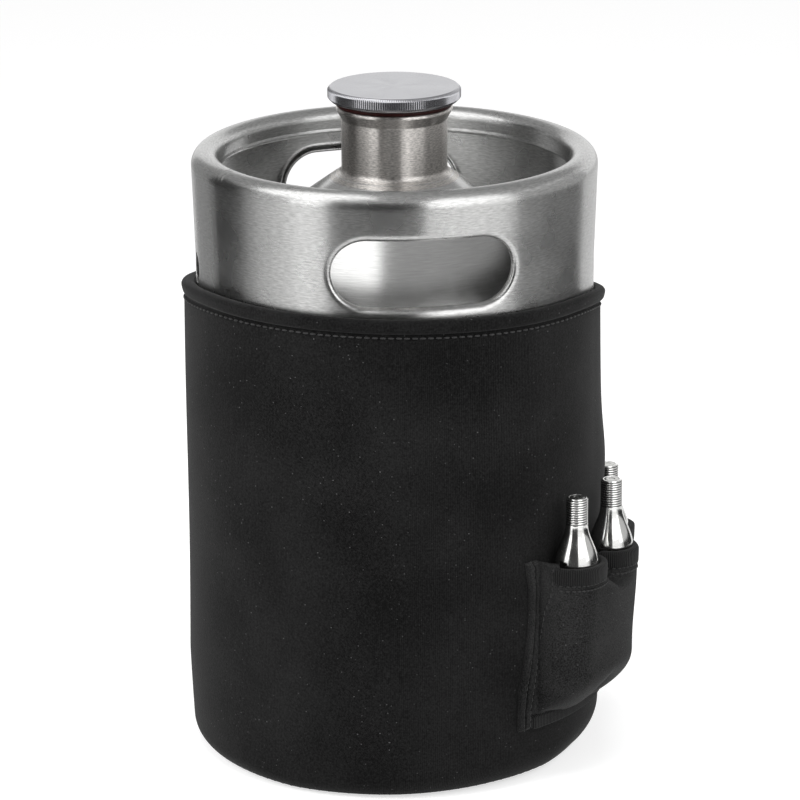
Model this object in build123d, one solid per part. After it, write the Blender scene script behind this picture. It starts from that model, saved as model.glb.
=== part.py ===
from build123d import *
import os
from math import acos, asin, cos, degrees, radians, sin

# Five-litre stainless mini keg standing in a pull-on neoprene jacket with a row of gas cartridge cells.
# Millimetres, +Z up. The origin is the middle of the jacket's base, on the surface it stands on.
# The handholes face -Y and +Y. Azimuths run from -Y towards +X, so +X is at 90 degrees.

# Clearances
SLIDE_GAP = 0.3        # between pieces that slide out of each other
WELD_GAP = 0.1         # between two edges that a weld joins
SEW_GAP = 0.1          # between two layers that a seam joins

# Keg vessel, pressed and rolled from stainless sheet
KEG_RADIUS = 85.6
KEG_SHEET = 0.8
KEG_CORNER = 9.7       # radius of the bottom's outer corner
BOTTOM_SKIRT = 10.0    # straight edge of the bottom above its corner
WALL_HEIGHT = 165.0    # rolled wall between its two weld seams
STAND_RADIUS = 60.0    # inner edge of the ring that the keg stands on
RECESS_HEIGHT = 8.0    # how far the middle of the bottom is pushed up
DOME_SKIRT = 9.0       # straight edge of the dome under its knuckle
KNUCKLE_RADIUS = 12.0
KNUCKLE_TURN = 44.0    # degrees that the knuckle turns inwards
DOME_RISE = 56.5       # from the start of the knuckle to the neck's weld

# Neck, turned from bar
NECK_BORE = 20.4
NECK_RADIUS = 22.7
COLLAR_RADIUS = 25.0
COLLAR_DEPTH = 3.0     # seat of the neck in the hole of the dome
COLLAR_CONE = 3.5
NECK_STRAIGHT = 20.5
LIP_CONE = 4.1
LIP_RADIUS = 25.0
LIP_HEIGHT = 1.5
LIP_ROUND = 1.0

# Screw lid and its gasket
GASKET_HEIGHT = 2.3
LID_RADIUS = 28.5
LID_HEIGHT = 5.9
LID_UNDER_BEVEL = 1.0
LID_TOP_BEVEL = 1.3
THREAD_DEPTH = 12.0    # how deep the lid's plug reaches below the lip
PLUG_BEVEL = 1.2

# Handle ring, rolled strip with a curled rim
RING_SHEET = 1.0
RIM_RADIUS = 87.0
RIM_ABOVE_WELD = 11.2  # top of the rim over the neck's weld
RIM_OUTER_ROUND = 7.0
RIM_INNER_ROUND = 4.0
RIM_LIP = 6.3          # straight inner lip below the curl
RING_STRAIGHT = 15.8   # upright part of the ring, below where it widens towards the rim
HANDHOLE_WIDTH = 76.0
HANDHOLE_HEIGHT = 29.0
HANDHOLE_DROP = 34.7   # from the top of the rim to the middle of the hole
HANDHOLE_FLANGE = 4.5  # depth of the edge that is turned inwards
DRAIN_RADIUS = 6.5
DRAIN_RISE = 13.0      # from the ring's lower edge to the middle of the hole

# Neoprene jacket, pulled up higher on one side
NEOPRENE = 3.0
HEM_MEAN_HEIGHT = 209.0
HEM_RISE = 3.4         # how far the hem's high side lies above its mean height
HEM_HIGH_AZIMUTH = -32.0
HEM_BAND = 6.2
HEM_PROUD = 1.5        # the turned edge stands out this far from the sleeve
JACKET_CORNER = 8.5    # outer corner at the base seam, filled by the seam's allowance

# Gas cartridges with a threaded neck
CARTRIDGE_RADIUS = 9.5
CARTRIDGE_LENGTH = 83.0
CARTRIDGE_WALL = 1.6
CARTRIDGE_THREAD_RADIUS = 4.75
CARTRIDGE_THREAD = 11.0
CARTRIDGE_THREAD_BEVEL = 0.5
CARTRIDGE_SHOULDER = 18.0
CARTRIDGE_BORE = 2.4
SEAL_RADIUS = 3.2
SEAL_HEIGHT = 0.4

# Pocket with a row of cells, one of them empty
CELL_FIRST_AZIMUTH = 42.5
CELL_PITCH = 18.8
CELL_COUNT = 4
FIRST_SEAT = 44.0      # height that the cartridge in the first cell stands at
SECOND_SEAT = 43.1
LAST_SEAT = 29.9
CARTRIDGE_SEATS = {1: FIRST_SEAT, 2: SECOND_SEAT, CELL_COUNT: LAST_SEAT}
EMPTY_FLOOR = 40.0
EMPTY_SLACK = 8.0      # how far the empty cell stands open
EMPTY_HALF_WIDTH = 10.9
CELL_CORNER = 7.0      # round at the bottom of a cell's inside
CELL_FOOT = 28.0       # where the gathered outside of the cells starts
CELL_FOOT_ROUND = 11.0
PANEL = 2.0
FIRST_MOUTH = 98.6     # height of the first cell's mouth; the row sags towards the last
SECOND_MOUTH = 97.2
THIRD_MOUTH = 92.0
LAST_MOUTH = 85.0
CELL_MOUTHS = {1: FIRST_MOUTH, 2: SECOND_MOUTH, 3: THIRD_MOUTH, CELL_COUNT: LAST_MOUTH}
BINDING_BAND = 7.0
BINDING_PROUD = 0.5
STRIP_WIDTH = 11.0
STRIP_THICKNESS = 3.4
STRIP_ABOVE_MOUTH = 2.0
POCKET_BOTTOM = 25.0
BOTTOM_BAND = 6.0
BOTTOM_BAND_THICKNESS = 2.6

# Heights of the keg, from the base upwards
keg_base = NEOPRENE + SLIDE_GAP
corner_top = keg_base + KEG_CORNER
wall_bottom = corner_top + BOTTOM_SKIRT
wall_top = wall_bottom + WALL_HEIGHT
knuckle_start = wall_top + DOME_SKIRT
neck_weld = knuckle_start + DOME_RISE
neck_straight_start = neck_weld + COLLAR_CONE
lip_cone_start = neck_straight_start + NECK_STRAIGHT
lip_start = lip_cone_start + LIP_CONE
neck_top = lip_start + LIP_HEIGHT
lid_under = neck_top + GASKET_HEIGHT
lid_top = lid_under + LID_HEIGHT
rim_top = neck_weld + RIM_ABOVE_WELD
curl_start = rim_top - RIM_OUTER_ROUND
ring_inset = RING_SHEET + WELD_GAP
ring_bottom = knuckle_start + KNUCKLE_RADIUS * sin(acos(1 - ring_inset / KNUCKLE_RADIUS))
flare = ring_bottom + RING_STRAIGHT

# Radii of the jacket, from the keg outwards
sleeve_inner = KEG_RADIUS + SLIDE_GAP
sleeve_outer = sleeve_inner + NEOPRENE
sleeve_corner = KEG_CORNER + SLIDE_GAP + NEOPRENE
base_radius = sleeve_outer - sleeve_corner
pocket_inner = sleeve_outer + SEW_GAP
cell_half_width = CARTRIDGE_RADIUS + SLIDE_GAP
cell_radius = sleeve_outer + SLIDE_GAP + CARTRIDGE_RADIUS
above_all = lid_top


def lathe(*edges):
    """Turn a closed outline, drawn as radius across and height up, about Z."""
    return revolve(Plane.XZ * make_face(edges), Axis.Z)


def lathe_points(*points):
    """Turn a closed outline of straight edges about Z."""
    return revolve(Plane.XZ * make_face(Polyline(*points, close=True)), Axis.Z)


def lathe_sheet(line, thickness, side):
    """Turn a sheet about Z: the line is one of its faces, the other lies on the given side of it."""
    outline = offset(line, thickness, side=side, kind=Kind.INTERSECTION)
    return revolve(Plane.XZ * make_face(outline.edges()), Axis.Z)


def tube(inner, outer, low, high):
    """Upright tube on the Z axis."""
    return lathe_points((inner, low), (outer, low), (outer, high), (inner, high))


def sector(inner, outer, start, end, low, high):
    """Upright piece of a tube between two azimuths."""
    outer_arc = CenterArc((0, 0), outer, start - 90, end - start)
    inner_arc = CenterArc((0, 0), inner, start - 90, end - start)
    sides = [Line(outer_arc @ 0, inner_arc @ 0), Line(outer_arc @ 1, inner_arc @ 1)]
    return Pos(0, 0, low) * extrude(make_face([outer_arc, inner_arc, *sides]), high - low)


def pulled_plane(height):
    """Plane at this mean height, tilted as the jacket is pulled up on one side."""
    slope = HEM_RISE / KEG_RADIUS
    azimuth = radians(HEM_HIGH_AZIMUTH)
    return Plane((0, 0, height), z_dir=(-slope * sin(azimuth), slope * cos(azimuth), 1))


def make_bottom():
    """Pressed bottom: straight skirt, round corner, standing ring and a middle that is pushed up."""
    flat_start = KEG_RADIUS - KEG_CORNER
    skirt = Line((KEG_RADIUS, wall_bottom), (KEG_RADIUS, corner_top))
    corner = CenterArc((flat_start, corner_top), KEG_CORNER, 0, -90)
    ring = Line((flat_start, keg_base), (STAND_RADIUS, keg_base))
    recess = TangentArc((0, keg_base + RECESS_HEIGHT), (STAND_RADIUS, keg_base), tangent=(1, 0))
    return lathe_sheet(Wire([skirt, corner, ring, recess]), KEG_SHEET, Side.RIGHT)


def make_dome():
    """Pressed dome: straight skirt, knuckle and a slightly crowned cone up to the neck."""
    skirt = Line((KEG_RADIUS, wall_top), (KEG_RADIUS, knuckle_start))
    knuckle = CenterArc((KEG_RADIUS - KNUCKLE_RADIUS, knuckle_start), KNUCKLE_RADIUS, 0, KNUCKLE_TURN)
    crown = TangentArc(knuckle @ 1, (COLLAR_RADIUS + WELD_GAP, neck_weld), tangent=knuckle % 1)
    return lathe_sheet(Wire([skirt, knuckle, crown]), KEG_SHEET, Side.LEFT)


def make_neck():
    """Turned neck: seat in the dome, collar cone, straight neck and a flared lip."""
    seat = neck_weld - COLLAR_DEPTH
    seat_radius = COLLAR_RADIUS - KEG_SHEET
    lip_round_start = (LIP_RADIUS, neck_top - LIP_ROUND)
    lip_round_end = (LIP_RADIUS - LIP_ROUND, neck_top)
    outside = Polyline(
        (NECK_BORE, seat),
        (seat_radius, seat),
        (seat_radius, neck_weld),
        (COLLAR_RADIUS, neck_weld),
        (NECK_RADIUS, neck_straight_start),
        (NECK_RADIUS, lip_cone_start),
        (LIP_RADIUS, lip_start),
        lip_round_start,
    )
    lip = CenterArc((LIP_RADIUS - LIP_ROUND, neck_top - LIP_ROUND), LIP_ROUND, 0, 90)
    bore = Polyline(lip_round_end, (NECK_BORE, neck_top), (NECK_BORE, seat))
    return lathe(*outside.edges(), lip, *bore.edges())


def make_handle_ring():
    """Rolled ring with a curled rim, two flanged handholes and two drain holes."""
    crest = RIM_RADIUS - RIM_OUTER_ROUND
    wall = Polyline((KEG_RADIUS, ring_bottom), (KEG_RADIUS, flare), (RIM_RADIUS, curl_start))
    outer_curl = CenterArc((crest, curl_start), RIM_OUTER_ROUND, 0, 90)
    inner_curl = CenterArc((crest, rim_top - RIM_INNER_ROUND), RIM_INNER_ROUND, 90, 90)
    lip_radius = crest - RIM_INNER_ROUND
    lip_top = rim_top - RIM_INNER_ROUND
    lip = Line((lip_radius, lip_top), (lip_radius, lip_top - RIM_LIP))
    ring = lathe_sheet(Wire([*wall.edges(), outer_curl, inner_curl, lip]), RING_SHEET, Side.LEFT)

    # The turned-in edge follows the hole and stays inside the sheet's outer face.
    middle = RING_SHEET / 2
    reach = middle + HANDHOLE_FLANGE
    flange_zone = lathe_points(
        (KEG_RADIUS - middle, ring_bottom),
        (KEG_RADIUS - middle, flare),
        (RIM_RADIUS - middle, curl_start),
        (RIM_RADIUS - middle - reach, curl_start),
        (KEG_RADIUS - middle - reach, flare),
        (KEG_RADIUS - middle - reach, ring_bottom),
    )
    hole = SlotOverall(HANDHOLE_WIDTH, HANDHOLE_HEIGHT)
    rim_of_hole = SlotOverall(HANDHOLE_WIDTH + 2 * RING_SHEET, HANDHOLE_HEIGHT + 2 * RING_SHEET)
    hole_plane = Plane.XZ.offset(-RIM_RADIUS) * Pos(0, rim_top - HANDHOLE_DROP)
    opening = extrude(hole_plane * hole, 2 * RIM_RADIUS)
    flange = extrude(hole_plane * rim_of_hole, 2 * RIM_RADIUS) & flange_zone
    drain_plane = Plane.YZ.offset(-RIM_RADIUS) * Pos(0, ring_bottom + DRAIN_RISE)
    drain = extrude(drain_plane * Circle(DRAIN_RADIUS), 2 * RIM_RADIUS)
    return ring + flange - opening - drain


def make_lid():
    """Turned lid: wide grip on top and a threaded plug, drawn plain, that goes into the neck."""
    plug_radius = NECK_BORE - SLIDE_GAP
    plug_bottom = neck_top - THREAD_DEPTH
    return lathe_points(
        (0, plug_bottom),
        (plug_radius - PLUG_BEVEL, plug_bottom),
        (plug_radius, plug_bottom + PLUG_BEVEL),
        (plug_radius, lid_under),
        (LID_RADIUS - LID_UNDER_BEVEL, lid_under),
        (LID_RADIUS, lid_under + LID_UNDER_BEVEL),
        (LID_RADIUS, lid_top - LID_TOP_BEVEL),
        (LID_RADIUS - LID_TOP_BEVEL, lid_top),
        (0, lid_top),
    )


def jacket_side(out):
    """Points up the side of the jacket, this far out from the keg's wall and its handle ring."""
    wall = KEG_RADIUS + out
    rim = RIM_RADIUS + out
    return [(wall, flare), (rim, curl_start), (rim, above_all)]


def make_sleeve():
    """Neoprene sleeve whose lower edge turns under the keg's corner to the base seam."""
    inside = [(sleeve_inner, sleeve_corner), *jacket_side(SLIDE_GAP)]
    outside = [(sleeve_outer, JACKET_CORNER), *jacket_side(SLIDE_GAP + NEOPRENE)]
    sides = Polyline(*inside, *reversed(outside))
    foot_radius = sleeve_outer - JACKET_CORNER
    outer_corner = CenterArc((foot_radius, JACKET_CORNER), JACKET_CORNER, 0, -90)
    foot = Polyline((foot_radius, 0), (base_radius, 0), (base_radius, NEOPRENE))
    inner_corner = CenterArc((base_radius, sleeve_corner), sleeve_corner - NEOPRENE, -90, 90)
    whole = lathe(*sides.edges(), outer_corner, *foot.edges(), inner_corner)
    return split(whole, pulled_plane(HEM_MEAN_HEIGHT - HEM_BAND), Keep.BOTTOM)


def make_hem():
    """Edge of the sleeve turned over into a double band."""
    inside = [(sleeve_inner, sleeve_corner), *jacket_side(SLIDE_GAP)]
    outside = [(sleeve_outer + HEM_PROUD, sleeve_corner), *jacket_side(SLIDE_GAP + NEOPRENE + HEM_PROUD)]
    whole = lathe_points(*inside, *reversed(outside))
    upper = split(whole, pulled_plane(HEM_MEAN_HEIGHT - HEM_BAND), Keep.TOP)
    return split(upper, pulled_plane(HEM_MEAN_HEIGHT), Keep.BOTTOM)


def cell_azimuth(number):
    """Azimuth of a cell, counted from 1."""
    return CELL_FIRST_AZIMUTH + (number - 1) * CELL_PITCH


def cell_block(number, grow, floor, top, corner):
    """A cell, grown all round: a rounded slot that runs in to the keg, with a round bottom."""
    filled = number in CARTRIDGE_SEATS
    half_width = grow + (cell_half_width if filled else EMPTY_HALF_WIDTH)
    front = cell_radius if filled else sleeve_outer + EMPTY_SLACK - EMPTY_HALF_WIDTH
    slot = SlotCenterToCenter(KEG_RADIUS, 2 * half_width)
    placed = Rot(Z=cell_azimuth(number) - 90) * Pos(front - KEG_RADIUS / 2, 0, floor) * slot
    block = extrude(placed, top - floor)
    widest_corner = half_width - WELD_GAP
    return fillet(block.faces().sort_by(Axis.Z)[0].edges(), min(corner, widest_corner))


def cell_inside(number):
    """Room for a cartridge, down to where it stands."""
    floor = CARTRIDGE_SEATS[number] - SLIDE_GAP if number in CARTRIDGE_SEATS else EMPTY_FLOOR
    return cell_block(number, 0, floor, above_all, CELL_CORNER)


def cell_outside(number, grow, top):
    """Outside of a cell, whose bottom is gathered down to the pocket's lower edge."""
    return cell_block(number, grow, CELL_FOOT, top, CELL_FOOT_ROUND)


def strip_azimuths():
    """Start and end azimuths of the strip before the first cell and of the one after the last."""
    half_cell = degrees(asin((cell_half_width + PANEL + BINDING_PROUD + SEW_GAP) / pocket_inner))
    width = degrees(STRIP_WIDTH / pocket_inner)
    first_end = cell_azimuth(1) - half_cell
    last_start = cell_azimuth(CELL_COUNT) + half_cell
    return (first_end - width, first_end), (last_start, last_start + width)


def make_strip(start, end, mouth):
    """Folded edge of the pocket, sewn down with two rows of stitches."""
    outer = pocket_inner + STRIP_THICKNESS
    return sector(pocket_inner, outer, start, end, POCKET_BOTTOM, mouth + STRIP_ABOVE_MOUTH)


def make_pocket(start, end):
    """Panel between the two strips with the cells raised from it."""
    bottom = POCKET_BOTTOM + BOTTOM_BAND
    halfway = [cell_azimuth(number + 0.5) for number in range(1, CELL_COUNT)]
    edges = [start, *halfway, end]
    panel = Part()
    for number, mouth in CELL_MOUTHS.items():
        top = mouth - BINDING_BAND
        panel += sector(pocket_inner, pocket_inner + PANEL, edges[number - 1], edges[number], bottom, top)
        panel += cell_outside(number, PANEL, top)
    for number in CELL_MOUTHS:
        panel -= cell_inside(number)
    return panel - tube(0, pocket_inner, 0, above_all)


def make_bottom_binding(start, end):
    """Tape along the lower edge of the pocket, under the round bottoms of the cells."""
    outer = pocket_inner + BOTTOM_BAND_THICKNESS
    band = sector(pocket_inner, outer, start, end, POCKET_BOTTOM, POCKET_BOTTOM + BOTTOM_BAND)
    for number in CELL_MOUTHS:
        band -= cell_outside(number, PANEL, above_all)
    return band


def make_cell_binding(number, mouth):
    """Tape folded over the mouth of one cell."""
    wall = cell_outside(number, PANEL + BINDING_PROUD, mouth) - cell_inside(number)
    wall -= tube(0, pocket_inner, 0, above_all)
    return split(wall, Plane.XY.offset(mouth - BINDING_BAND), Keep.TOP)


def cartridge_outline(inset, neck):
    """Edges up one face of a cartridge: round bottom, straight body and a shoulder of two equal arcs."""
    body = CARTRIDGE_RADIUS - inset
    shoulder = CARTRIDGE_LENGTH - CARTRIDGE_THREAD - CARTRIDGE_SHOULDER
    narrowing = body - neck
    radius = (CARTRIDGE_SHOULDER**2 + narrowing**2) / (4 * narrowing)
    middle = (body - narrowing / 2, shoulder + CARTRIDGE_SHOULDER / 2)
    bottom = CenterArc((0, CARTRIDGE_RADIUS), body, -90, 90)
    side = Line((body, CARTRIDGE_RADIUS), (body, shoulder))
    convex = TangentArc((body, shoulder), middle, tangent=(0, 1))
    concave = RadiusArc(middle, (neck, shoulder + CARTRIDGE_SHOULDER), radius)
    return [bottom, side, convex, concave]


def make_cartridge():
    """Drawn steel cartridge standing on its round bottom, its threaded neck drawn plain."""
    neck_start = CARTRIDGE_LENGTH - CARTRIDGE_THREAD
    seal_seat = CARTRIDGE_LENGTH - SEAL_HEIGHT
    outside = cartridge_outline(0, CARTRIDGE_THREAD_RADIUS)
    inside = cartridge_outline(CARTRIDGE_WALL, CARTRIDGE_BORE)
    top = Polyline(
        (CARTRIDGE_THREAD_RADIUS, neck_start),
        (CARTRIDGE_THREAD_RADIUS, CARTRIDGE_LENGTH - CARTRIDGE_THREAD_BEVEL),
        (CARTRIDGE_THREAD_RADIUS - CARTRIDGE_THREAD_BEVEL, CARTRIDGE_LENGTH),
        (SEAL_RADIUS + WELD_GAP, CARTRIDGE_LENGTH),
        (SEAL_RADIUS + WELD_GAP, seal_seat),
        (CARTRIDGE_BORE, seal_seat),
        (CARTRIDGE_BORE, neck_start),
    )
    bottom = Line((0, 0), (0, CARTRIDGE_WALL))
    return lathe(*outside, *top.edges(), *inside, bottom)


def make_seal():
    """Thin disc that closes the cartridge's bore until it is pierced."""
    return lathe_points(
        (0, CARTRIDGE_LENGTH - SEAL_HEIGHT),
        (SEAL_RADIUS, CARTRIDGE_LENGTH - SEAL_HEIGHT),
        (SEAL_RADIUS, CARTRIDGE_LENGTH),
        (0, CARTRIDGE_LENGTH),
    )


front_strip, back_strip = strip_azimuths()
pocket_span = (front_strip[1], back_strip[0])

parts = {
    "keg_wall": tube(KEG_RADIUS - KEG_SHEET, KEG_RADIUS, wall_bottom, wall_top),
    "keg_bottom": make_bottom(),
    "keg_dome": make_dome(),
    "keg_neck": make_neck(),
    "handle_ring": make_handle_ring(),
    "lid_gasket": tube(NECK_BORE, LIP_RADIUS, neck_top, lid_under),
    "screw_lid": make_lid(),
    "jacket_sleeve": make_sleeve(),
    "jacket_hem": make_hem(),
    "jacket_base": tube(0, base_radius - SEW_GAP, 0, NEOPRENE),
    "pocket_panel": make_pocket(*pocket_span),
    "pocket_front_strip": make_strip(*front_strip, FIRST_MOUTH),
    "pocket_back_strip": make_strip(*back_strip, LAST_MOUTH),
    "pocket_bottom_binding": make_bottom_binding(*pocket_span),
}
for number, mouth in CELL_MOUTHS.items():
    parts[f"cell_binding_{number}"] = make_cell_binding(number, mouth)
for count, (number, seat) in enumerate(CARTRIDGE_SEATS.items(), 1):
    place = Rot(Z=cell_azimuth(number) - 90) * Pos(cell_radius, 0, seat)
    parts[f"gas_cartridge_{count}"] = place * make_cartridge()
    parts[f"cartridge_seal_{count}"] = place * make_seal()

os.makedirs("parts", exist_ok=True)
for name, part in parts.items():
    export_step(part, f"parts/{name}.step")
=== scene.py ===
import bmesh
import bpy
import numpy as np
from mathutils import Matrix, Vector


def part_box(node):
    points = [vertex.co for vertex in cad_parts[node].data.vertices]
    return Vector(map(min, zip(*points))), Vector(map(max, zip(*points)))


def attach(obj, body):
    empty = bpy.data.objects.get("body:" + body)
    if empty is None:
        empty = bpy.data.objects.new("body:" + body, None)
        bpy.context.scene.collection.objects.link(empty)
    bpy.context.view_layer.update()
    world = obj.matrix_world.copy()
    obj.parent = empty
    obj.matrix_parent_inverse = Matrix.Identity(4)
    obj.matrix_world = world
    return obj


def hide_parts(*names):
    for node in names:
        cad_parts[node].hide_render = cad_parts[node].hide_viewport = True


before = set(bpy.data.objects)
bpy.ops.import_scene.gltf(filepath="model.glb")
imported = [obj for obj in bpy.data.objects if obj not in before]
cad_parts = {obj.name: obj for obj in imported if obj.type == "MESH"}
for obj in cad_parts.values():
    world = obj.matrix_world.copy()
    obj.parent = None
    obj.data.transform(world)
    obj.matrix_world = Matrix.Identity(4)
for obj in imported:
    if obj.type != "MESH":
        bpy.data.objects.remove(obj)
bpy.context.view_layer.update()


# Keg vessel: a bottom and a dome pressed from stainless sheet and a wall rolled from it, welded
# together and brushed round. The jacket hides all but the dome until the keg is lifted out.
SHEET = 0.8
BOTTOM_CORNER = 9.7
STAND_RADIUS = 60.0
RECESS = 8.0
DOME_SKIRT = 9.0
KNUCKLE = 12.0
KNUCKLE_TURN = 44.0
CROWN_CORNER_RADIUS = 56.1
CROWN_ROUND = 360.0
KEG_COLUMNS = 192          # columns of faces round the keg


def corners(node):
    """Lowest and highest corner of a CAD node, in millimetres."""
    low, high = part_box(node)
    return np.array(low) * 1000, np.array(high) * 1000


def outline(*points, steps=7):
    """Line through points of (across, up, rounding), each rounding an arc tangent to both its sides."""
    points = np.array(points, float)
    runs = []
    for before, here, after in zip(np.roll(points, 1, 0), points, np.roll(points, -1, 0)):
        if here[2] == 0:
            runs.append(here[None, :2])
            continue
        back = (before - here)[:2] / np.hypot(*(before - here)[:2])
        on = (after - here)[:2] / np.hypot(*(after - here)[:2])
        half = np.arccos(np.clip(back @ on, -1, 1)) / 2
        centre = here[:2] + (back + on) / np.hypot(*(back + on)) * here[2] / np.sin(half)
        reach = here[2] / np.tan(half)
        share = np.linspace(0, 1, steps)[:, None]
        turn = np.pi - 2 * half
        first, last = here[:2] + back * reach - centre, here[:2] + on * reach - centre
        swing = np.sin((1 - share) * turn) * first + np.sin(share * turn) * last
        runs.append(centre + swing / np.sin(turn))
    line = np.concatenate(runs)
    return line[np.append(True, np.linalg.norm(np.diff(line, axis=0), axis=1) > 1e-6)]


def lengths(line):
    """Distance along a line of points, from its start to each point."""
    return np.concatenate([[0], np.cumsum(np.linalg.norm(np.diff(line, axis=0), axis=1))])


def thickened(line, thickness):
    """Closed profile of a sheet: the line, then the same line moved to its left and run backwards."""
    run = np.gradient(line, axis=0)
    left = np.stack([-run[:, 1], run[:, 0]], -1) / np.linalg.norm(run, axis=1)[:, None]
    moved = line + left * thickness
    moved[:, 0] = np.maximum(moved[:, 0], 0)
    return np.concatenate([line, moved[::-1]])


def about_axis(radius, angle, height):
    """Points about the Z axis at a radius, an angle in radians from +X and a height."""
    return np.stack(np.broadcast_arrays(radius * np.cos(angle), radius * np.sin(angle), height), -1)


def turned(profile, columns, closed=True):
    """Patch of a profile of (radius, height) points carried round the Z axis."""
    angle = np.radians(np.linspace(0, 360, columns + 1))
    points = about_axis(profile[:, :1], angle, profile[:, 1:])
    whole = np.concatenate([profile, profile[:1]]) if closed else profile
    flat = np.stack(np.meshgrid(angle * profile[:, 0].max(), lengths(whole)), -1)
    return points[:, :-1], flat, (closed, True)


def skin(name, *patches, sharp=32):
    """Mesh of quads over one or more grids of points, in millimetres, welded where the grids meet.

    A patch is its points [i, j], their places on the flat sheet [i, j] and whether the grid closes
    on itself along i and along j. A closed grid has one more row or column of flat places.
    """
    places, quads, maps, first = [], [], [], 0
    for points, flat, wrap in patches:
        rows, columns = points.shape[:2]
        i, j = np.indices((rows - 1 + wrap[0], columns - 1 + wrap[1]))
        around = [(0, 0), (0, 1), (1, 1), (1, 0)]
        quad = [first + (i + a) % rows * columns + (j + b) % columns for a, b in around]
        quads.append(np.stack(quad, -1).reshape(-1, 4))
        maps.append(np.stack([flat[i + a, j + b] for a, b in around], -2).reshape(-1, 2))
        places.append(points.reshape(-1, 3))
        first += rows * columns
    places, quads, maps = np.concatenate(places) / 1000, np.concatenate(quads), np.concatenate(maps)
    mesh = bpy.data.meshes.new(name)
    mesh.vertices.add(len(places))
    mesh.vertices.foreach_set("co", places.astype(np.float32).ravel())
    mesh.loops.add(quads.size)
    mesh.loops.foreach_set("vertex_index", quads.astype(np.int32).ravel())
    mesh.polygons.add(len(quads))
    mesh.polygons.foreach_set("loop_start", np.arange(0, quads.size, 4, dtype=np.int32))
    mesh.uv_layers.new(name="Flat").uv.foreach_set("vector", maps.astype(np.float32).ravel())
    mesh.update(calc_edges=True)
    welded = bmesh.new()
    welded.from_mesh(mesh)
    bmesh.ops.remove_doubles(welded, verts=welded.verts, dist=2e-6)
    welded.to_mesh(mesh)
    welded.free()
    mesh.shade_smooth()
    mesh.set_sharp_from_angle(angle=np.radians(sharp))
    piece = bpy.data.objects.new(name, mesh)
    bpy.context.scene.collection.objects.link(piece)
    return piece


def even_shading(piece):
    """Let the large faces rule the shading, so that flats stay flat beside small rounded edges."""
    modifier = piece.modifiers.new("even shading", "WEIGHTED_NORMAL")
    modifier.keep_sharp = True


def fit(piece, body, slot, material, *nodes):
    """Give a piece its finish and let it ride on its body, in place of the CAD nodes it stands for."""
    piece.data.materials.append(material)
    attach(piece, body)
    if nodes:
        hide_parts(*nodes)


def linear(colour):
    """Linear colour of an sRGB hex value."""
    share = np.array([int(colour[k:k + 2], 16) for k in (1, 3, 5)]) / 255
    return (*np.where(share <= 0.04045, share / 12.92, ((share + 0.055) / 1.055) ** 2.4), 1.0)


def wire(tree, node, inputs):
    """Give a node its inputs, each a value or another node's output."""
    for name, value in dict(inputs).items():
        if isinstance(value, bpy.types.NodeSocket):
            tree.links.new(value, node.inputs[name])
        else:
            node.inputs[name].default_value = value


def add(tree, kind, inputs=(), **settings):
    """Add a shader node: its settings, then its inputs."""
    node = tree.nodes.new("ShaderNode" + kind)
    for name, value in settings.items():
        setattr(node, name, value)
    wire(tree, node, inputs)
    return node


def bare_material(name):
    """New material, its tree of nodes and the shader at the tree's end."""
    material = bpy.data.materials.new(name)
    material.use_nodes = True
    return material, material.node_tree, material.node_tree.nodes["Principled BSDF"]


def brushed_stainless(name, colour, rough, stretch, line, run, relief, grain):
    """Stainless steel brushed round: grey metal whose highlights spread across the brush lines.

    Lines are `line` wide and about `run` long, in millimetres, drawn coarser than a real grit so
    that they show; they darken the colour by up to `grain` and, by `relief`, shape the surface.
    """
    material, tree, shader = bare_material(name)
    flat = add(tree, "UVMap", uv_map="Flat")
    stretched = add(tree, "Mapping", {"Vector": flat.outputs["UV"], "Scale": (1 / run, 1 / line, 1)})
    lines = add(tree, "TexNoise", {"Vector": stretched.outputs["Vector"], "Scale": 1.0, "Detail": 5.0,
                                   "Roughness": 0.62})
    patches = add(tree, "TexNoise", {"Vector": flat.outputs["UV"], "Scale": 0.045, "Detail": 2.0})
    shade = add(tree, "MapRange", {"Value": lines.outputs["Fac"], "From Min": 0.25, "From Max": 0.75,
                                   "To Min": 1 - grain, "To Max": 1 + 0.6 * grain})
    tint = add(tree, "Mix", {0: 1.0, 6: linear(colour), 7: shade.outputs["Result"]},
               data_type="RGBA", blend_type="MULTIPLY")
    worn = add(tree, "MapRange", {"Value": patches.outputs["Fac"], "From Min": 0.3, "From Max": 0.7,
                                  "To Min": rough * 0.9, "To Max": rough * 1.12})
    bump = add(tree, "Bump", {"Height": lines.outputs["Fac"], "Strength": 1.0, "Distance": relief / 1000})
    tangent = add(tree, "Tangent", direction_type="UV_MAP", uv_map="Flat")
    wire(tree, shader, {"Base Color": tint.outputs[2], "Metallic": 1.0, "Roughness": worn.outputs["Result"],
                        "Anisotropic": stretch, "Anisotropic Rotation": 0.25,
                        "Normal": bump.outputs["Normal"], "Tangent": tangent.outputs["Tangent"]})
    return material


wall_low, wall_high = corners("keg_wall")
keg_radius = wall_high[0]
keg_base = corners("keg_bottom")[0][2]
neck_weld = corners("keg_dome")[1][2]
knuckle_corner = wall_high[2] + DOME_SKIRT + KNUCKLE * np.tan(np.radians(KNUCKLE_TURN / 2))
crown_corner = knuckle_corner + (keg_radius - CROWN_CORNER_RADIUS) / np.tan(np.radians(KNUCKLE_TURN))
collar_radius = corners("keg_neck")[1][0]

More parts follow.
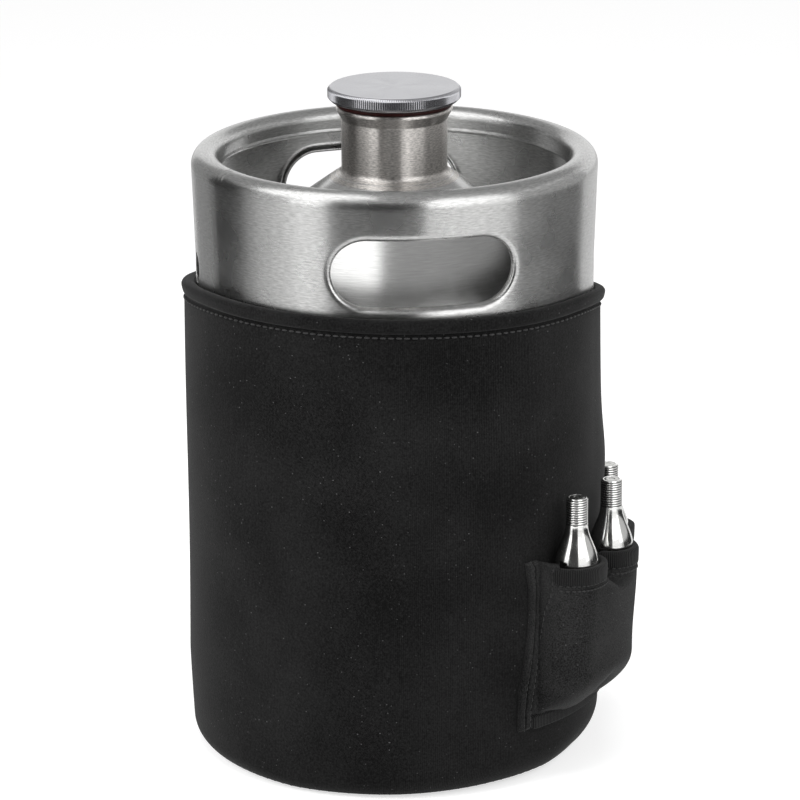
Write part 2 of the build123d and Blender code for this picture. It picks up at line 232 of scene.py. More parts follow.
recess_radius = np.linspace(0, STAND_RADIUS, 20, endpoint=False)
recess = np.stack([recess_radius, keg_base + RECESS * (1 - (recess_radius / STAND_RADIUS) ** 2)], -1)
stand = outline((STAND_RADIUS, keg_base, 0), (keg_radius, keg_base, BOTTOM_CORNER),
                (keg_radius, wall_low[2], 0), steps=14)
dome_line = outline((keg_radius, wall_high[2], 0), (keg_radius, knuckle_corner, KNUCKLE),
                    (CROWN_CORNER_RADIUS, crown_corner, CROWN_ROUND), (collar_radius + 0.1, neck_weld, 0),
                    steps=20)
wall_line = np.stack([np.full(12, keg_radius), np.linspace(wall_low[2], wall_high[2], 12)], -1)

mill_stainless = brushed_stainless("mill brushed stainless", "#c2c2c1", rough=0.34, stretch=0.5,
                                   line=0.7, run=8, relief=0.012, grain=0.3)
spun_stainless = brushed_stainless("spun satin stainless", "#cacac9", rough=0.24, stretch=0.55,
                                   line=0.7, run=12, relief=0.010, grain=0.16)
for node, profile, finish, slot in (
    ("keg_bottom", thickened(np.concatenate([recess, stand]), SHEET), mill_stainless, "stainless_wall"),
    ("keg_wall", thickened(wall_line, SHEET), mill_stainless, "stainless_wall"),
    ("keg_dome", thickened(dome_line, SHEET), spun_stainless, "stainless_dome"),
):
    shell = skin(node + "_shell", turned(profile, KEG_COLUMNS))
    even_shading(shell)
    fit(shell, "keg", slot, finish, node)


# Neck: turned from stainless bar, with a collar whose weld is ground into a smooth fillet on the
# dome, a flared lip for the gasket and a screw thread of 3 mm pitch cut into its bore.
BORE = 20.4
NECK_RADIUS = 22.7
COLLAR_SEAT_RADIUS = 24.2
COLLAR_CONE = 3.5
COLLAR_FILLET = 3.0
WELD_REACH = 3.0
NECK_STRAIGHT = 20.5
LIP_CONE = 4.1
LIP_BEND = 1.5
LID_PITCH = 3.0
THREAD_DEPTH = 0.75
THREAD_REACH = 13.0
THREAD_WIDTH = 0.40        # half widths and flanks of threads are shares of the pitch
THREAD_FLANK = 0.2
THREAD_RUN_OUT = 0.9
SEAT_SINK = 1.2            # the collar's seat goes this far below the top of the dome


def ridge(height, angle, pitch, half_width, flank):
    """Right-hand screw ridge, 0 to 1: it climbs one pitch a turn, with sloping flanks and a flat top."""
    phase = (height / pitch - angle / (2 * np.pi)) % 1
    return np.clip((half_width - np.abs(phase - 0.5)) / flank, 0, 1)


def ends_fade(height, low, high, run):
    """1 between two heights and 0 outside them, with a smooth change over a run at each end."""
    inside = np.clip(np.minimum(height - low, high - height) / run, 0, 1)
    return inside * inside * (3 - 2 * inside)


def threaded(radius, angle, height, unrolled, lift=0.0):
    """Patch of a round surface whose radius changes with angle and height, unrolled at one radius and
    moved up the flat sheet by a lift."""
    flat = np.stack(np.broadcast_arrays(unrolled * angle, height + lift), -1)
    return about_axis(radius, angle, height)[:, :-1], flat, (False, True)


neck_low, neck_high = corners("keg_neck")
neck_straight_top = neck_weld + COLLAR_CONE + NECK_STRAIGHT
down_dome = (dome_line[-2] - dome_line[-1]) / np.linalg.norm(dome_line[-2] - dome_line[-1])
weld_toe = dome_line[-1] + down_dome * WELD_REACH + np.array([-down_dome[1], down_dome[0]]) * 0.04
collar_foot = neck_weld + (collar_radius - NECK_RADIUS) * -down_dome[1] / down_dome[0]
neck_outside = outline(
    (BORE, neck_low[2], 0), (COLLAR_SEAT_RADIUS, neck_low[2], 0),
    (COLLAR_SEAT_RADIUS, neck_weld - SEAT_SINK, 0), (*weld_toe, 0),
    (NECK_RADIUS, collar_foot, COLLAR_FILLET), (NECK_RADIUS, neck_straight_top, LIP_BEND),
    (neck_high[0], neck_straight_top + LIP_CONE, 0.8), (neck_high[0], neck_high[2], 0.9),
    (BORE, neck_high[2], 0), steps=9)
bore_angle = np.radians(np.linspace(0, 360, KEG_COLUMNS + 1))
bore_height = np.linspace(neck_high[2], neck_low[2], 90)[:, None]
groove = ridge(bore_height, bore_angle, LID_PITCH, THREAD_WIDTH, THREAD_FLANK)
groove = groove * ends_fade(bore_height, neck_high[2] - THREAD_REACH, neck_high[2], THREAD_RUN_OUT)

turned_stainless = brushed_stainless("turned and brushed stainless", "#d8d4d0", rough=0.33, stretch=0.9,
                                     line=0.45, run=2, relief=0.012, grain=0.66)
neck = skin("keg_neck_turned", turned(neck_outside, KEG_COLUMNS, closed=False),
            threaded(BORE + THREAD_DEPTH * groove, bore_angle, bore_height, BORE), sharp=40)
even_shading(neck)
fit(neck, "keg", "stainless_neck", turned_stainless, "keg_neck")


# Handle ring: a stainless strip rolled into a ring and butt welded, its top edge curled in to a
# rounded rim. Two handholes have edges pressed inwards, and two plain holes let spilt beer out.
RING_SHEET = 1.0
RING_STRAIGHT = 15.8
RIM_OUTER_ROUND = 6.5
RIM_INNER_ROUND = 5.0
RIM_LIP = 3.6
RIM_ROLL = 2.4             # the lip's last part, kicked in and rolled under
HANDHOLE_WIDTH = 76.0
HANDHOLE_HEIGHT = 29.0
HANDHOLE_DROP = 34.7
FLANGE_BEND = 3.1
FLANGE_DEPTH = 5.2
DRAIN_RADIUS = 6.5
DRAIN_RISE = 13.0
DRAIN_EDGE = 0.25
HANDHOLE_FRAME = 33.0      # degrees on each side of a handhole's middle that its patch takes
DRAIN_FRAME = 8.0
SEAM_AZIMUTH = -66.5
SEAM_HALF_WIDTH = 0.9      # degrees from the middle of the weld to the line along each of its sides
SEAM_LINE = 0.22
SEAM_RELIEF = 0.12

ring_low, ring_high = corners("handle_ring")
rim_radius, rim_top, ring_bottom = ring_high[0], ring_high[2], ring_low[2]
curl_start = rim_top - RIM_OUTER_ROUND
flare = ring_bottom + RING_STRAIGHT


def place(azimuth, radius, height):
    """Points at azimuths in degrees, counted from -Y towards +X, with their radius and height."""
    turn = np.radians(azimuth)
    return np.stack(np.broadcast_arrays(radius * np.sin(turn), -radius * np.cos(turn), height), -1)


def ring_radius(height):
    """Outside of the ring: upright at first, then widening evenly up to the curl of its rim."""
    return keg_radius + (rim_radius - keg_radius) * np.clip((height - flare) / (curl_start - flare), 0, 1)


def seam_dip(azimuth):
    """Depth of the two fine lines that the ground weld leaves across the rim."""
    away = np.abs(azimuth - SEAM_AZIMUTH)
    return SEAM_RELIEF * np.exp(-(((away - SEAM_HALF_WIDTH) / SEAM_LINE) ** 2))


def wall_patch(azimuths, heights):
    """Part of the ring's upright wall between two azimuths and two heights."""
    azimuth, height = np.meshgrid(azimuths, heights)
    points = place(azimuth, ring_radius(height), height)
    return points, np.stack([np.radians(azimuth) * keg_radius, height], -1), (False, False)


def hole_patch(middle, azimuths, heights, hole_height, spine, radius, bend, depth):
    """Frame of wall round a slot: lines run from the frame's border straight to the slot's edge,
    which is the points at one distance from a spine, then over a quarter bend and inwards."""
    across = np.concatenate([azimuths[:-1], np.full(len(heights) - 1, azimuths[-1]),
                             azimuths[:0:-1], np.full(len(heights) - 1, azimuths[0])])
    up = np.concatenate([np.full(len(azimuths) - 1, heights[0]), heights[:-1],
                         np.full(len(azimuths) - 1, heights[-1]), heights[:0:-1]])
    border = np.stack([ring_radius(up) * np.sin(np.radians(across - middle)), up], -1)
    nearest = np.stack([np.clip(border[:, 0], -spine, spine), np.full(len(up), hole_height)], -1)
    away = border - nearest
    span = np.linalg.norm(away, axis=1)
    out = away / span[:, None]
    curve = np.radians(np.linspace(0, 90, 8))
    flat_share = np.linspace(0, 1, 7)[:-1, None]
    distance = np.concatenate([
        span * (1 - flat_share) + (radius + bend) * flat_share,
        np.repeat((radius + bend * (1 - np.sin(curve)))[:, None], len(up), 1),
        np.full((2, len(up)), radius)])
    inwards = np.concatenate([np.zeros(6), bend * (1 - np.cos(curve)), np.linspace(bend, depth, 3)[1:]])
    spot = nearest + distance[..., None] * out
    wall = np.sqrt(ring_radius(spot[..., 1]) ** 2 - spot[..., 0] ** 2)
    turn = np.radians(middle) + np.arctan2(spot[..., 0], wall - inwards[:, None])
    points = place(np.degrees(turn), np.hypot(spot[..., 0], wall - inwards[:, None]), spot[..., 1])
    flat = np.stack([turn * keg_radius, spot[..., 1]], -1)
    return points, np.concatenate([flat, flat[:, :1]], 1), (False, True)


lip_radius = rim_radius - RIM_OUTER_ROUND - RIM_INNER_ROUND
lip_crease = rim_top - RIM_INNER_ROUND - RIM_LIP
curl = outline((rim_radius, curl_start, 0), (rim_radius, rim_top, RIM_OUTER_ROUND),
               (lip_radius, rim_top, RIM_INNER_ROUND), (lip_radius, lip_crease, 0.3),
               (lip_radius - 0.6, lip_crease - RIM_ROLL, 1.2),
               (lip_radius + 1.6, lip_crease - RIM_ROLL, 0), steps=14)
handhole_height = rim_top - HANDHOLE_DROP
handhole_radius = HANDHOLE_HEIGHT / 2
handhole_spine = (HANDHOLE_WIDTH - HANDHOLE_HEIGHT) / 2
handhole_foot = handhole_height - handhole_radius - FLANGE_BEND - 3
drain_head = ring_bottom + DRAIN_RISE + DRAIN_RADIUS + 1.5
rows = np.concatenate([
    np.linspace(ring_bottom, handhole_foot, 8), np.linspace(handhole_foot, drain_head, 4)[1:],
    np.linspace(drain_head, curl_start - 2.5, 22)[1:], [curl_start - 1.2, curl_start]])
below_handhole, in_handhole, above_handhole = rows[:8], rows[7:-2], rows[-3:]
in_drain, above_drain = rows[:11], rows[10:]
hole_columns = np.linspace(-HANDHOLE_FRAME, HANDHOLE_FRAME, 45)
drain_columns = np.linspace(-DRAIN_FRAME, DRAIN_FRAME, 13)
gap_columns = np.linspace(HANDHOLE_FRAME, 90 - DRAIN_FRAME, 34)
seam_columns = np.linspace(SEAM_AZIMUTH - 2, SEAM_AZIMUTH + 2, 33)
left_columns = np.concatenate([np.linspace(DRAIN_FRAME - 90, seam_columns[0], 9)[:-1], seam_columns,
                               np.linspace(seam_columns[-1], -HANDHOLE_FRAME, 21)[1:]])
gaps = [gap_columns, 180 - gap_columns[::-1], 180 + gap_columns, left_columns + 360]
whole_round = np.concatenate([
    hole_columns[:-1], gaps[0][:-1], 90 + drain_columns[:-1], gaps[1][:-1], 180 + hole_columns[:-1],
    gaps[2][:-1], 270 + drain_columns[:-1], gaps[3][:-1]])
ring_patches = [wall_patch(columns, rows) for columns in [*gaps[:3], left_columns]]
for middle in (0, 180):
    columns = middle + hole_columns
    ring_patches.append(wall_patch(columns, below_handhole))
    ring_patches.append(wall_patch(columns, above_handhole))
    ring_patches.append(hole_patch(middle, columns, in_handhole, handhole_height, handhole_spine,
                                   handhole_radius, FLANGE_BEND, FLANGE_DEPTH))
for middle in (90, 270):
    columns = middle + drain_columns
    ring_patches.append(wall_patch(columns, above_drain))
    ring_patches.append(hole_patch(middle, columns, in_drain, ring_bottom + DRAIN_RISE, 0, DRAIN_RADIUS,
                                   DRAIN_EDGE, DRAIN_EDGE + 0.1))
curl_run = np.gradient(curl, axis=0)
curl_out = np.stack([curl_run[:, 1], -curl_run[:, 0]], -1) / np.linalg.norm(curl_run, axis=1)[:, None]
curl_share = lengths(curl) / lengths(curl)[-1]
dip = seam_dip((whole_round + 180) % 360 - 180) * ends_fade(curl_share, 0.08, 0.62, 0.08)[:, None]
curl_points = place(whole_round, curl[:, :1] - curl_out[:, :1] * dip, curl[:, 1:] - curl_out[:, 1:] * dip)
curl_flat = np.stack(np.meshgrid(np.radians(np.append(whole_round, whole_round[0] + 360)) * keg_radius,
                                 curl_start + lengths(curl)), -1)
ring_patches.append((curl_points, curl_flat, (False, True)))

ring = skin("handle_ring_rolled", *ring_patches, sharp=45)
sheet_metal = ring.modifiers.new("sheet", "SOLIDIFY")
sheet_metal.thickness = RING_SHEET / 1000
sheet_metal.offset = -1
sheet_metal.use_even_offset = True
even_shading(ring)
brushed_ring = brushed_stainless("brushed ring stainless", "#c5c5c4", rough=0.28, stretch=0.7,
                                 line=0.6, run=3.2, relief=0.010, grain=0.38)
fit(ring, "keg", "stainless_ring", brushed_ring, "handle_ring")


# Lid gasket: a moulded ring of dark red silicone that is pinched between the neck's lip and the lid.
# Only its outer edge shows, as a thin dull line. Its red is darkened nearly to black: painted shade for the
# shadow under the lid.
GASKET_ROUND = 0.8


def silicone(name, colour, bloom):
    """Moulded silicone rubber: an even satin colour with a faint dusty bloom in 2 mm clouds."""
    material, tree, shader = bare_material(name)
    spot = add(tree, "TexCoord")
    dust = add(tree, "TexNoise", {"Vector": spot.outputs["Object"], "Scale": 1000 / 2.0, "Detail": 4.0})
    dusty = add(tree, "MapRange", {"Value": dust.outputs["Fac"], "From Min": 0.3, "From Max": 0.8})
    tint = add(tree, "Mix", {0: dusty.outputs["Result"], 6: linear(colour), 7: linear(bloom)},
               data_type="RGBA")
    wire(tree, shader, {"Base Color": tint.outputs[2], "Roughness": 0.5, "IOR": 1.43,
                        "Specular IOR Level": 0.25})
    return material


gasket_low, gasket_high = corners("lid_gasket")
gasket_profile = outline(
    (BORE, gasket_low[2], 0.4), (gasket_high[0], gasket_low[2], GASKET_ROUND),
    (gasket_high[0], gasket_high[2], GASKET_ROUND), (BORE, gasket_high[2], 0.4))
gasket = skin("lid_gasket_ring", turned(gasket_profile, 144))
# Both reds are darkened nearly to black: painted shade for the lid's shadow on the gasket.
shade_darkened_silicone = silicone("red silicone darkened as painted shade", "#1c0302", "#300c0a")
fit(gasket, "gasket", "silicone", shade_darkened_silicone, "lid_gasket")


# Screw lid: turned from stainless bar, fine satin on top, with a straight knurl rolled into its edge
# and a threaded plug below that screws into the neck.
KNURL_TEETH = 180
KNURL_DEPTH = 0.5
TOP_BEVEL = 1.25
UNDER_BEVEL = 1.4
PLUG_GAP = 0.3
PLUG_BEVEL = 1.2
PLUG_THREAD = 0.5
PLUG_THREAD_WIDTH = 0.32

lid_low, lid_high = corners("screw_lid")
lid_under = gasket_high[2]
lid_radius = lid_high[0]
plug_radius = BORE - PLUG_GAP
cap_line = outline(
    (plug_radius, lid_under, 0), (lid_radius - UNDER_BEVEL, lid_under, 0.2),
    (lid_radius, lid_under + UNDER_BEVEL, 0.2), (lid_radius, lid_high[2] - TOP_BEVEL, 0.5),
    (lid_radius - TOP_BEVEL, lid_high[2], 0.8), (0, lid_high[2], 0), steps=5)
cap_face = np.linspace(cap_line[-2, 0], 0, 12)[1:]
cap_line = np.concatenate([cap_line[:-1], np.stack([cap_face, np.full(len(cap_face), lid_high[2])], -1)])
lid_columns = 4 * KNURL_TEETH
cap_points, cap_flat, cap_wrap = turned(cap_line, lid_columns, closed=False)
groove_bottom = lid_radius - KNURL_DEPTH * np.tile([1, 0.5, 0, 0.5], KNURL_TEETH)
cap_shrink = np.minimum(1, groove_bottom / np.maximum(cap_line[:, :1], 1))
cap_points[..., :2] *= cap_shrink[..., None]

plug_angle = np.radians(np.linspace(0, 360, lid_columns + 1))
plug_height = np.linspace(lid_low[2] + PLUG_BEVEL, lid_under, 46)[:, None]
thread = ridge(plug_height, plug_angle, LID_PITCH, PLUG_THREAD_WIDTH, THREAD_FLANK)
thread = thread * ends_fade(plug_height, lid_low[2] + PLUG_BEVEL, neck_high[2], THREAD_RUN_OUT)
plug_side = threaded(plug_radius + PLUG_THREAD * thread, plug_angle, plug_height, plug_radius)
plug_end = outline((0, lid_low[2], 0), (plug_radius - PLUG_BEVEL, lid_low[2], 0.3),
                   (plug_radius, lid_low[2] + PLUG_BEVEL, 0), steps=4)

lid_stainless = brushed_stainless("fine turned stainless", "#bcbcc0", rough=0.24, stretch=0.0,
                                  line=0.5, run=40, relief=0.002, grain=0.04)
lid = skin("screw_lid_turned", (cap_points, cap_flat, cap_wrap), plug_side,
           turned(plug_end, lid_columns, closed=False), sharp=28)
even_shading(lid)
fit(lid, "lid", "stainless_lid", lid_stainless, "screw_lid")


# Jacket sleeve: black neoprene with a knit face, sewn into a tube, pulled up over the keg and higher
# on one side than on the other. Its lower edge turns under the keg and is overlocked to a round base.
NEOPRENE = 3.0
HEM_BAND = 6.2
HEM_HIGH_AZIMUTH = -32.0
KEG_SIDE_CORNER = 10.0
CORNER_AZIMUTHS = (-180, -95, -60, -40, -24, -8, 10, 22, 42, 56, 80, 110, 180)
CORNER_ROUNDS = (11, 10.5, 8.4, 6.8, 8.2, 9.4, 12, 13.4, 14, 17.5, 17.5, 12, 11)  # tight where it bears down
SLIDE_GAP = 0.3
OVERLOCK_PITCH = 4.0
OVERLOCK_TURN = -60        # degrees below level, on the corner's round, where the overlock seam lies
PUCKER = 0.7
SEAM_LAP = 0.1
SEAM_GROOVE = 1.0
BACK_SAG = 9.3             # all round the back the jacket is pulled up less
LEFT_SIDE = -98.0
RIGHT_SIDE = 82.0
LEFT_SLACK = 1.5
POCKET_PUSH = 2.1          # beside the pocket the cartridges push the sleeve out
EVEN_SLACK = 0.3
TOP_PULL = 0.5
CARTRIDGE_WAY = 52.0       # azimuth half way between the first two cartridges, where the sleeve lies flat
WAVE_SCALE = 3.1831        # a wave texture at scale 1 repeats this many times in one unit

hem_low, hem_high = corners("jacket_hem")
hem_radius = hem_high[0]
pull_slope = (hem_high[2] - hem_low[2] - HEM_BAND) / 2 / hem_radius
hem_mean = (hem_high[2] + hem_low[2] + HEM_BAND) / 2
sleeve_radius = keg_radius + SLIDE_GAP + NEOPRENE
base_radius = corners("jacket_base")[1][0] + SEAM_LAP
overlock_count = int(round(2 * np.pi * base_radius / OVERLOCK_PITCH))


def hill(value, middle, width):
    """Smooth hill of height 1."""
    return np.exp(-(((value - middle) / width) ** 2))


def smooth(value, low, high):
    """0 below low, 1 above high, with an even S between."""
    share = np.clip((value - low) / (high - low), 0, 1)
    return share * share * (3 - 2 * share)


def turn_between(azimuth, middle):
    """Azimuth counted from a middle, from -180 to 180 degrees."""
    return (azimuth - middle + 180) % 360 - 180


def hill_round(azimuth, middle, width):
    """Smooth hill of height 1 at one azimuth of the jacket."""
    return hill(turn_between(azimuth, middle), 0, width)


def hem_foot(azimuth, radius):
    """Height of the hem band's lower edge: on a plane tilted as the jacket is pulled up in front on the
    left, and sagging all round the back."""
    turn = turn_between(azimuth, 0)
    sag = BACK_SAG * (smooth(turn, 50, 111) + smooth(-turn, 62, 150))
    tilt = pull_slope * radius * np.cos(np.radians(azimuth - HEM_HIGH_AZIMUTH))
    return hem_mean - HEM_BAND + tilt - sag


def slack(azimuth, height):
    """How far the jacket stands out from its tight form: loose on the left, pushed out beside the
    pocket, with slow shallow waves all round but where the first two cartridges slide past it."""
    left = LEFT_SLACK * hill_round(azimuth, LEFT_SIDE, 48)
    beside_pocket = POCKET_PUSH * hill_round(azimuth, RIGHT_SIDE, 13) * hill(height, 126, 20)
    turn = np.radians(azimuth)
    waves = 0.22 * np.sin(3 * turn + height / 31) + 0.14 * np.sin(7 * turn - height / 23 + 1.0)
    tight = TOP_PULL * hill_round(azimuth, RIGHT_SIDE, 30) * smooth(height, 150, 200)
    flat = 1 - 0.97 * smooth(22 - np.abs(turn_between(azimuth, CARTRIDGE_WAY)), 0, 10)
    return (left + beside_pocket + (EVEN_SLACK + waves) * flat - tight) * np.clip(height / 40, 0, 1)


def sleeve_out(azimuth, height):
    """Outside radius of the sleeve's upright part."""
    return sleeve_radius + slack(azimuth, height)


def corner_round(azimuth):
    """Radius of the sleeve's bottom corner."""
    return np.interp(azimuth, CORNER_AZIMUTHS, CORNER_ROUNDS)


def on_corner(azimuth, turn, dip):
    """Points on the sleeve's bottom corner, at a turn in radians from level round it, sunk by a dip."""
    size = corner_round(azimuth) - dip
    radius = sleeve_out(azimuth, corner_round(azimuth)) - corner_round(azimuth) + size * np.cos(turn)
    return place(azimuth, radius, corner_round(azimuth) + size * np.sin(turn))


def knit_neoprene(name, colour, speck, rib, grain):
    """Neoprene laminated with a thin knit: dull black, a soft pale bloom at grazing angles, fine wales.

    The wales, 0.35 mm apart on the real cloth, are drawn `rib` millimetres apart so that they show,
    with tufts of `grain` millimetres and a few pale specks of lint.
    """
    material, tree, shader = bare_material(name)
    flat = add(tree, "UVMap", uv_map="Flat")
    wales = add(tree, "TexWave", {"Vector": flat.outputs["UV"], "Scale": 1 / (rib * WAVE_SCALE),
                                  "Distortion": 1.2, "Detail": 2.0, "Detail Scale": 3.0}, bands_direction="X")
    spot = add(tree, "TexCoord")
    tufts = add(tree, "TexNoise", {"Vector": spot.outputs["Object"], "Scale": 1000 / grain, "Detail": 3.0,
                                   "Roughness": 0.7})
    clouds = add(tree, "TexNoise", {"Vector": spot.outputs["Object"], "Scale": 1000 / 38, "Detail": 3.0})
    lint = add(tree, "TexVoronoi", {"Vector": spot.outputs["Object"], "Scale": 1000 / 3.2, "Randomness": 1.0})
    relief = add(tree, "Math", {0: wales.outputs["Fac"], 1: 0.35, 2: tufts.outputs["Fac"]},
                 operation="MULTIPLY_ADD")
    bump = add(tree, "Bump", {"Height": relief.outputs["Value"], "Strength": 0.7, "Distance": 0.00015})
    worn = add(tree, "Math", {0: clouds.outputs["Fac"], 1: 0.5, 2: tufts.outputs["Fac"]},
               operation="MULTIPLY_ADD")
    shade = add(tree, "MapRange", {"Value": worn.outputs["Value"], "From Min": 0.6, "From Max": 0.98})
    tone = add(tree, "Mix", {0: shade.outputs["Result"], 6: linear(colour), 7: linear(speck)},
               data_type="RGBA")
    dots = add(tree, "MapRange", {"Value": lint.outputs["Distance"], "From Min": 0.1, "From Max": 0.05,
                                  "To Min": 0.0, "To Max": 0.5})
    some = add(tree, "Math", {0: dots.outputs["Result"], 1: lint.outputs["Color"]}, operation="MULTIPLY")
    specks = add(tree, "Mix", {0: some.outputs["Value"], 6: tone.outputs[2], 7: linear("#8a8a8a")},
                 data_type="RGBA")
    wire(tree, shader, {"Base Color": specks.outputs[2], "Roughness": 0.85, "Specular IOR Level": 0.16,
                        "Sheen Weight": 0.085, "Sheen Roughness": 0.45, "Normal": bump.outputs["Normal"]})
    return material


sleeve_columns = 6 * overlock_count
sleeve_azimuth = np.linspace(-180, 180, sleeve_columns + 1)
corner_turn = np.radians(np.linspace(-90, 0, 34))[:-1, None]
hole = hill(np.arange(sleeve_columns + 1) % 6, 3, 1.1) * hill(np.degrees(corner_turn), OVERLOCK_TURN, 5)
seam = 0.35 * hill(np.degrees(corner_turn), OVERLOCK_TURN - 4, 4)
corner_out = on_corner(sleeve_azimuth, corner_turn, PUCKER * hole + seam)
foot_out = place(sleeve_azimuth, base_radius, np.zeros((1, 1)))
hem_bottom = hem_foot(sleeve_azimuth, sleeve_radius)
rise = np.concatenate([np.linspace(0, 0.965, 58)[:-1], np.linspace(0.965, 1, 20)])[:, None]
corner_top = corner_round(sleeve_azimuth)
side_height = corner_top + (hem_bottom - corner_top) * rise
side_radius = sleeve_out(sleeve_azimuth, side_height)
side_radius = side_radius - SEAM_GROOVE * hill(hem_bottom - side_height, 0.4, 1.0)
side_out = place(sleeve_azimuth, side_radius, side_height)
inner_rise = np.linspace(1, 0, 14)[:, None]
corner_height = KEG_SIDE_CORNER + NEOPRENE
inner_height = corner_height + (hem_bottom - corner_height) * inner_rise
side_in = place(sleeve_azimuth, sleeve_out(sleeve_azimuth, inner_height) - NEOPRENE, inner_height)
inner_turn = np.radians(np.linspace(0, -90, 8))[1:, None]
corner_in = place(sleeve_azimuth, base_radius + KEG_SIDE_CORNER * np.cos(inner_turn),
                  corner_height + KEG_SIDE_CORNER * np.sin(inner_turn))
sleeve_points = np.concatenate([foot_out, corner_out, side_out, side_in, corner_in])
sleeve_along = lengths(sleeve_points[:, 0])
sleeve_along = np.append(sleeve_along, sleeve_along[-1] + NEOPRENE)
sleeve_flat = np.stack(np.meshgrid(np.radians(sleeve_azimuth) * sleeve_radius, sleeve_along), -1)

neoprene = knit_neoprene("black knit neoprene", "#000000", "#1d1d1d", rib=0.8, grain=0.9)
sleeve = skin("jacket_sleeve_cloth", (sleeve_points[:, :-1], sleeve_flat, (True, True)), sharp=60)
fit(sleeve, "jacket", "neoprene", neoprene, "jacket_sleeve")


# Jacket base: a round neoprene panel under the keg, overlocked to the sleeve's lower edge with a
# stitch every 4 mm that draws the cloth into small scallops.
BASE_ROUND = 1.0
THREAD_THICKNESS = 0.7
OVERLOCK_STITCH = 2.6
OVERLOCK_SINK = 0.25


def stitches(name, middles, along, out, length, thickness, bow):
    """Sewn threads: one short capsule at each middle, pointing along the seam and bowed outwards."""
    along = along / np.linalg.norm(along, axis=1)[:, None]
    side = np.cross(out, along)
    side = side / np.linalg.norm(side, axis=1)[:, None]
    up = np.cross(along, side)
    run = np.array([-1, -0.9, -0.5, 0, 0.5, 0.9, 1])[:, None]
    width = thickness / 2 * np.array([0, 0.62, 1, 1, 1, 0.62, 0])[:, None]
    turn = np.radians(np.linspace(0, 360, 7))
    forward = (run * length / 2)[..., None] * along[:, None, None]
    sideways = (width * np.sin(turn))[..., None] * side[:, None, None]
    upward = (bow * (1 - run**2) + width * np.cos(turn))[..., None] * up[:, None, None]
    threads = middles[:, None, None] + forward + upward + sideways
    flat = np.stack(np.broadcast_arrays(turn * thickness / 2, run * length / 2), -1)
    return skin(name, *[(thread[::-1, :-1], flat[::-1], (False, True)) for thread in threads], sharp=70)


def sewing_thread(name, colour, shadow, twist):
    """Spun polyester thread: black with a slight gloss, twisted with a pitch in millimetres."""
    material, tree, shader = bare_material(name)
    flat = add(tree, "UVMap", uv_map="Flat")
    slanted = add(tree, "Mapping", {"Vector": flat.outputs["UV"], "Rotation": (0, 0, 0.6)})
    plies = add(tree, "TexWave", {"Vector": slanted.outputs["Vector"], "Scale": 1 / (twist * WAVE_SCALE)})
    bump = add(tree, "Bump", {"Height": plies.outputs["Fac"], "Strength": 0.6, "Distance": 0.0001})
    tint = add(tree, "Mix", {0: plies.outputs["Fac"], 6: linear(shadow), 7: linear(colour)}, data_type="RGBA")
    wire(tree, shader, {"Base Color": tint.outputs[2], "Roughness": 0.5, "Sheen Weight": 0.1,
                        "Normal": bump.outputs["Normal"]})
    return material


base_edge = base_radius - SEAM_LAP
base_profile = outline((0, 0, 0), (base_edge, 0, BASE_ROUND), (base_edge, NEOPRENE, BASE_ROUND),
                       (0, NEOPRENE, 0), steps=5)
base = skin("jacket_base_panel", turned(base_profile, overlock_count * 2))
fit(base, "jacket", "neoprene", neoprene, "jacket_base")

black_thread = sewing_thread("black polyester thread", "#2a2a2a", "#101010", twist=0.5)
overlock_azimuth = np.linspace(-180, 180, overlock_count, endpoint=False)
overlock_turn = np.radians(OVERLOCK_TURN - 14)
overlock_middle = on_corner(overlock_azimuth, overlock_turn, OVERLOCK_SINK)
overlock_out = place(overlock_azimuth, np.cos(overlock_turn), np.sin(overlock_turn))
overlock_along = place(overlock_azimuth, -np.sin(overlock_turn), np.cos(overlock_turn))
overlock = stitches("base_overlock_stitches", overlock_middle, overlock_along, overlock_out,
                    OVERLOCK_STITCH, THREAD_THICKNESS, bow=0.0)
fit(overlock, "jacket", "neoprene", black_thread)


# Jacket hem: the sleeve's top edge turned over into a round double band and sewn down with one row
# of stitches that lies in a groove just under the band.
HEM_STITCH_PITCH = 3.3
HEM_STITCH = 2.4
HEM_STITCH_DROP = 1.5
HEM_STITCH_SINK = 0.05
HEM_LEAN = 1.2             # at the keg's two sides the band leans out

hem_azimuth = np.linspace(-180, 180, 361)
hem_face = SLIDE_GAP + NEOPRENE
hem_section = outline((SLIDE_GAP, 0, 0.8), (hem_face + 0.8, 0, 1.9), (hem_face + 0.9, HEM_BAND, 2.4),
                      (SLIDE_GAP, HEM_BAND, 1.7), steps=8)
hem_turn = np.radians(hem_azimuth)
hem_loose = slack(hem_azimuth, hem_mean) * 0.6 + 0.18 * np.sin(11 * hem_turn) * np.sin(4 * hem_turn)
hem_lean = HEM_LEAN * (hill_round(hem_azimuth, RIGHT_SIDE, 26) + hill_round(hem_azimuth, LEFT_SIDE, 34))
hem_across, hem_up = hem_section[:, :1], hem_section[:, 1:]
hem_loose = hem_loose + hem_lean * smooth(hem_up, -2, 0.8 * HEM_BAND)
hem_out = keg_radius + hem_across + hem_loose * smooth(hem_across, SLIDE_GAP, hem_face)
hem_points = place(hem_azimuth, hem_out, hem_foot(hem_azimuth, hem_out) + hem_up)
hem_around = lengths(np.concatenate([hem_section, hem_section[:1]]))
hem_flat = np.stack(np.meshgrid(hem_turn * hem_radius, hem_around), -1)
hem = skin("jacket_hem_band", (hem_points[:, :-1], hem_flat, (True, True)), sharp=70)
fit(hem, "jacket", "neoprene", neoprene, "jacket_hem")

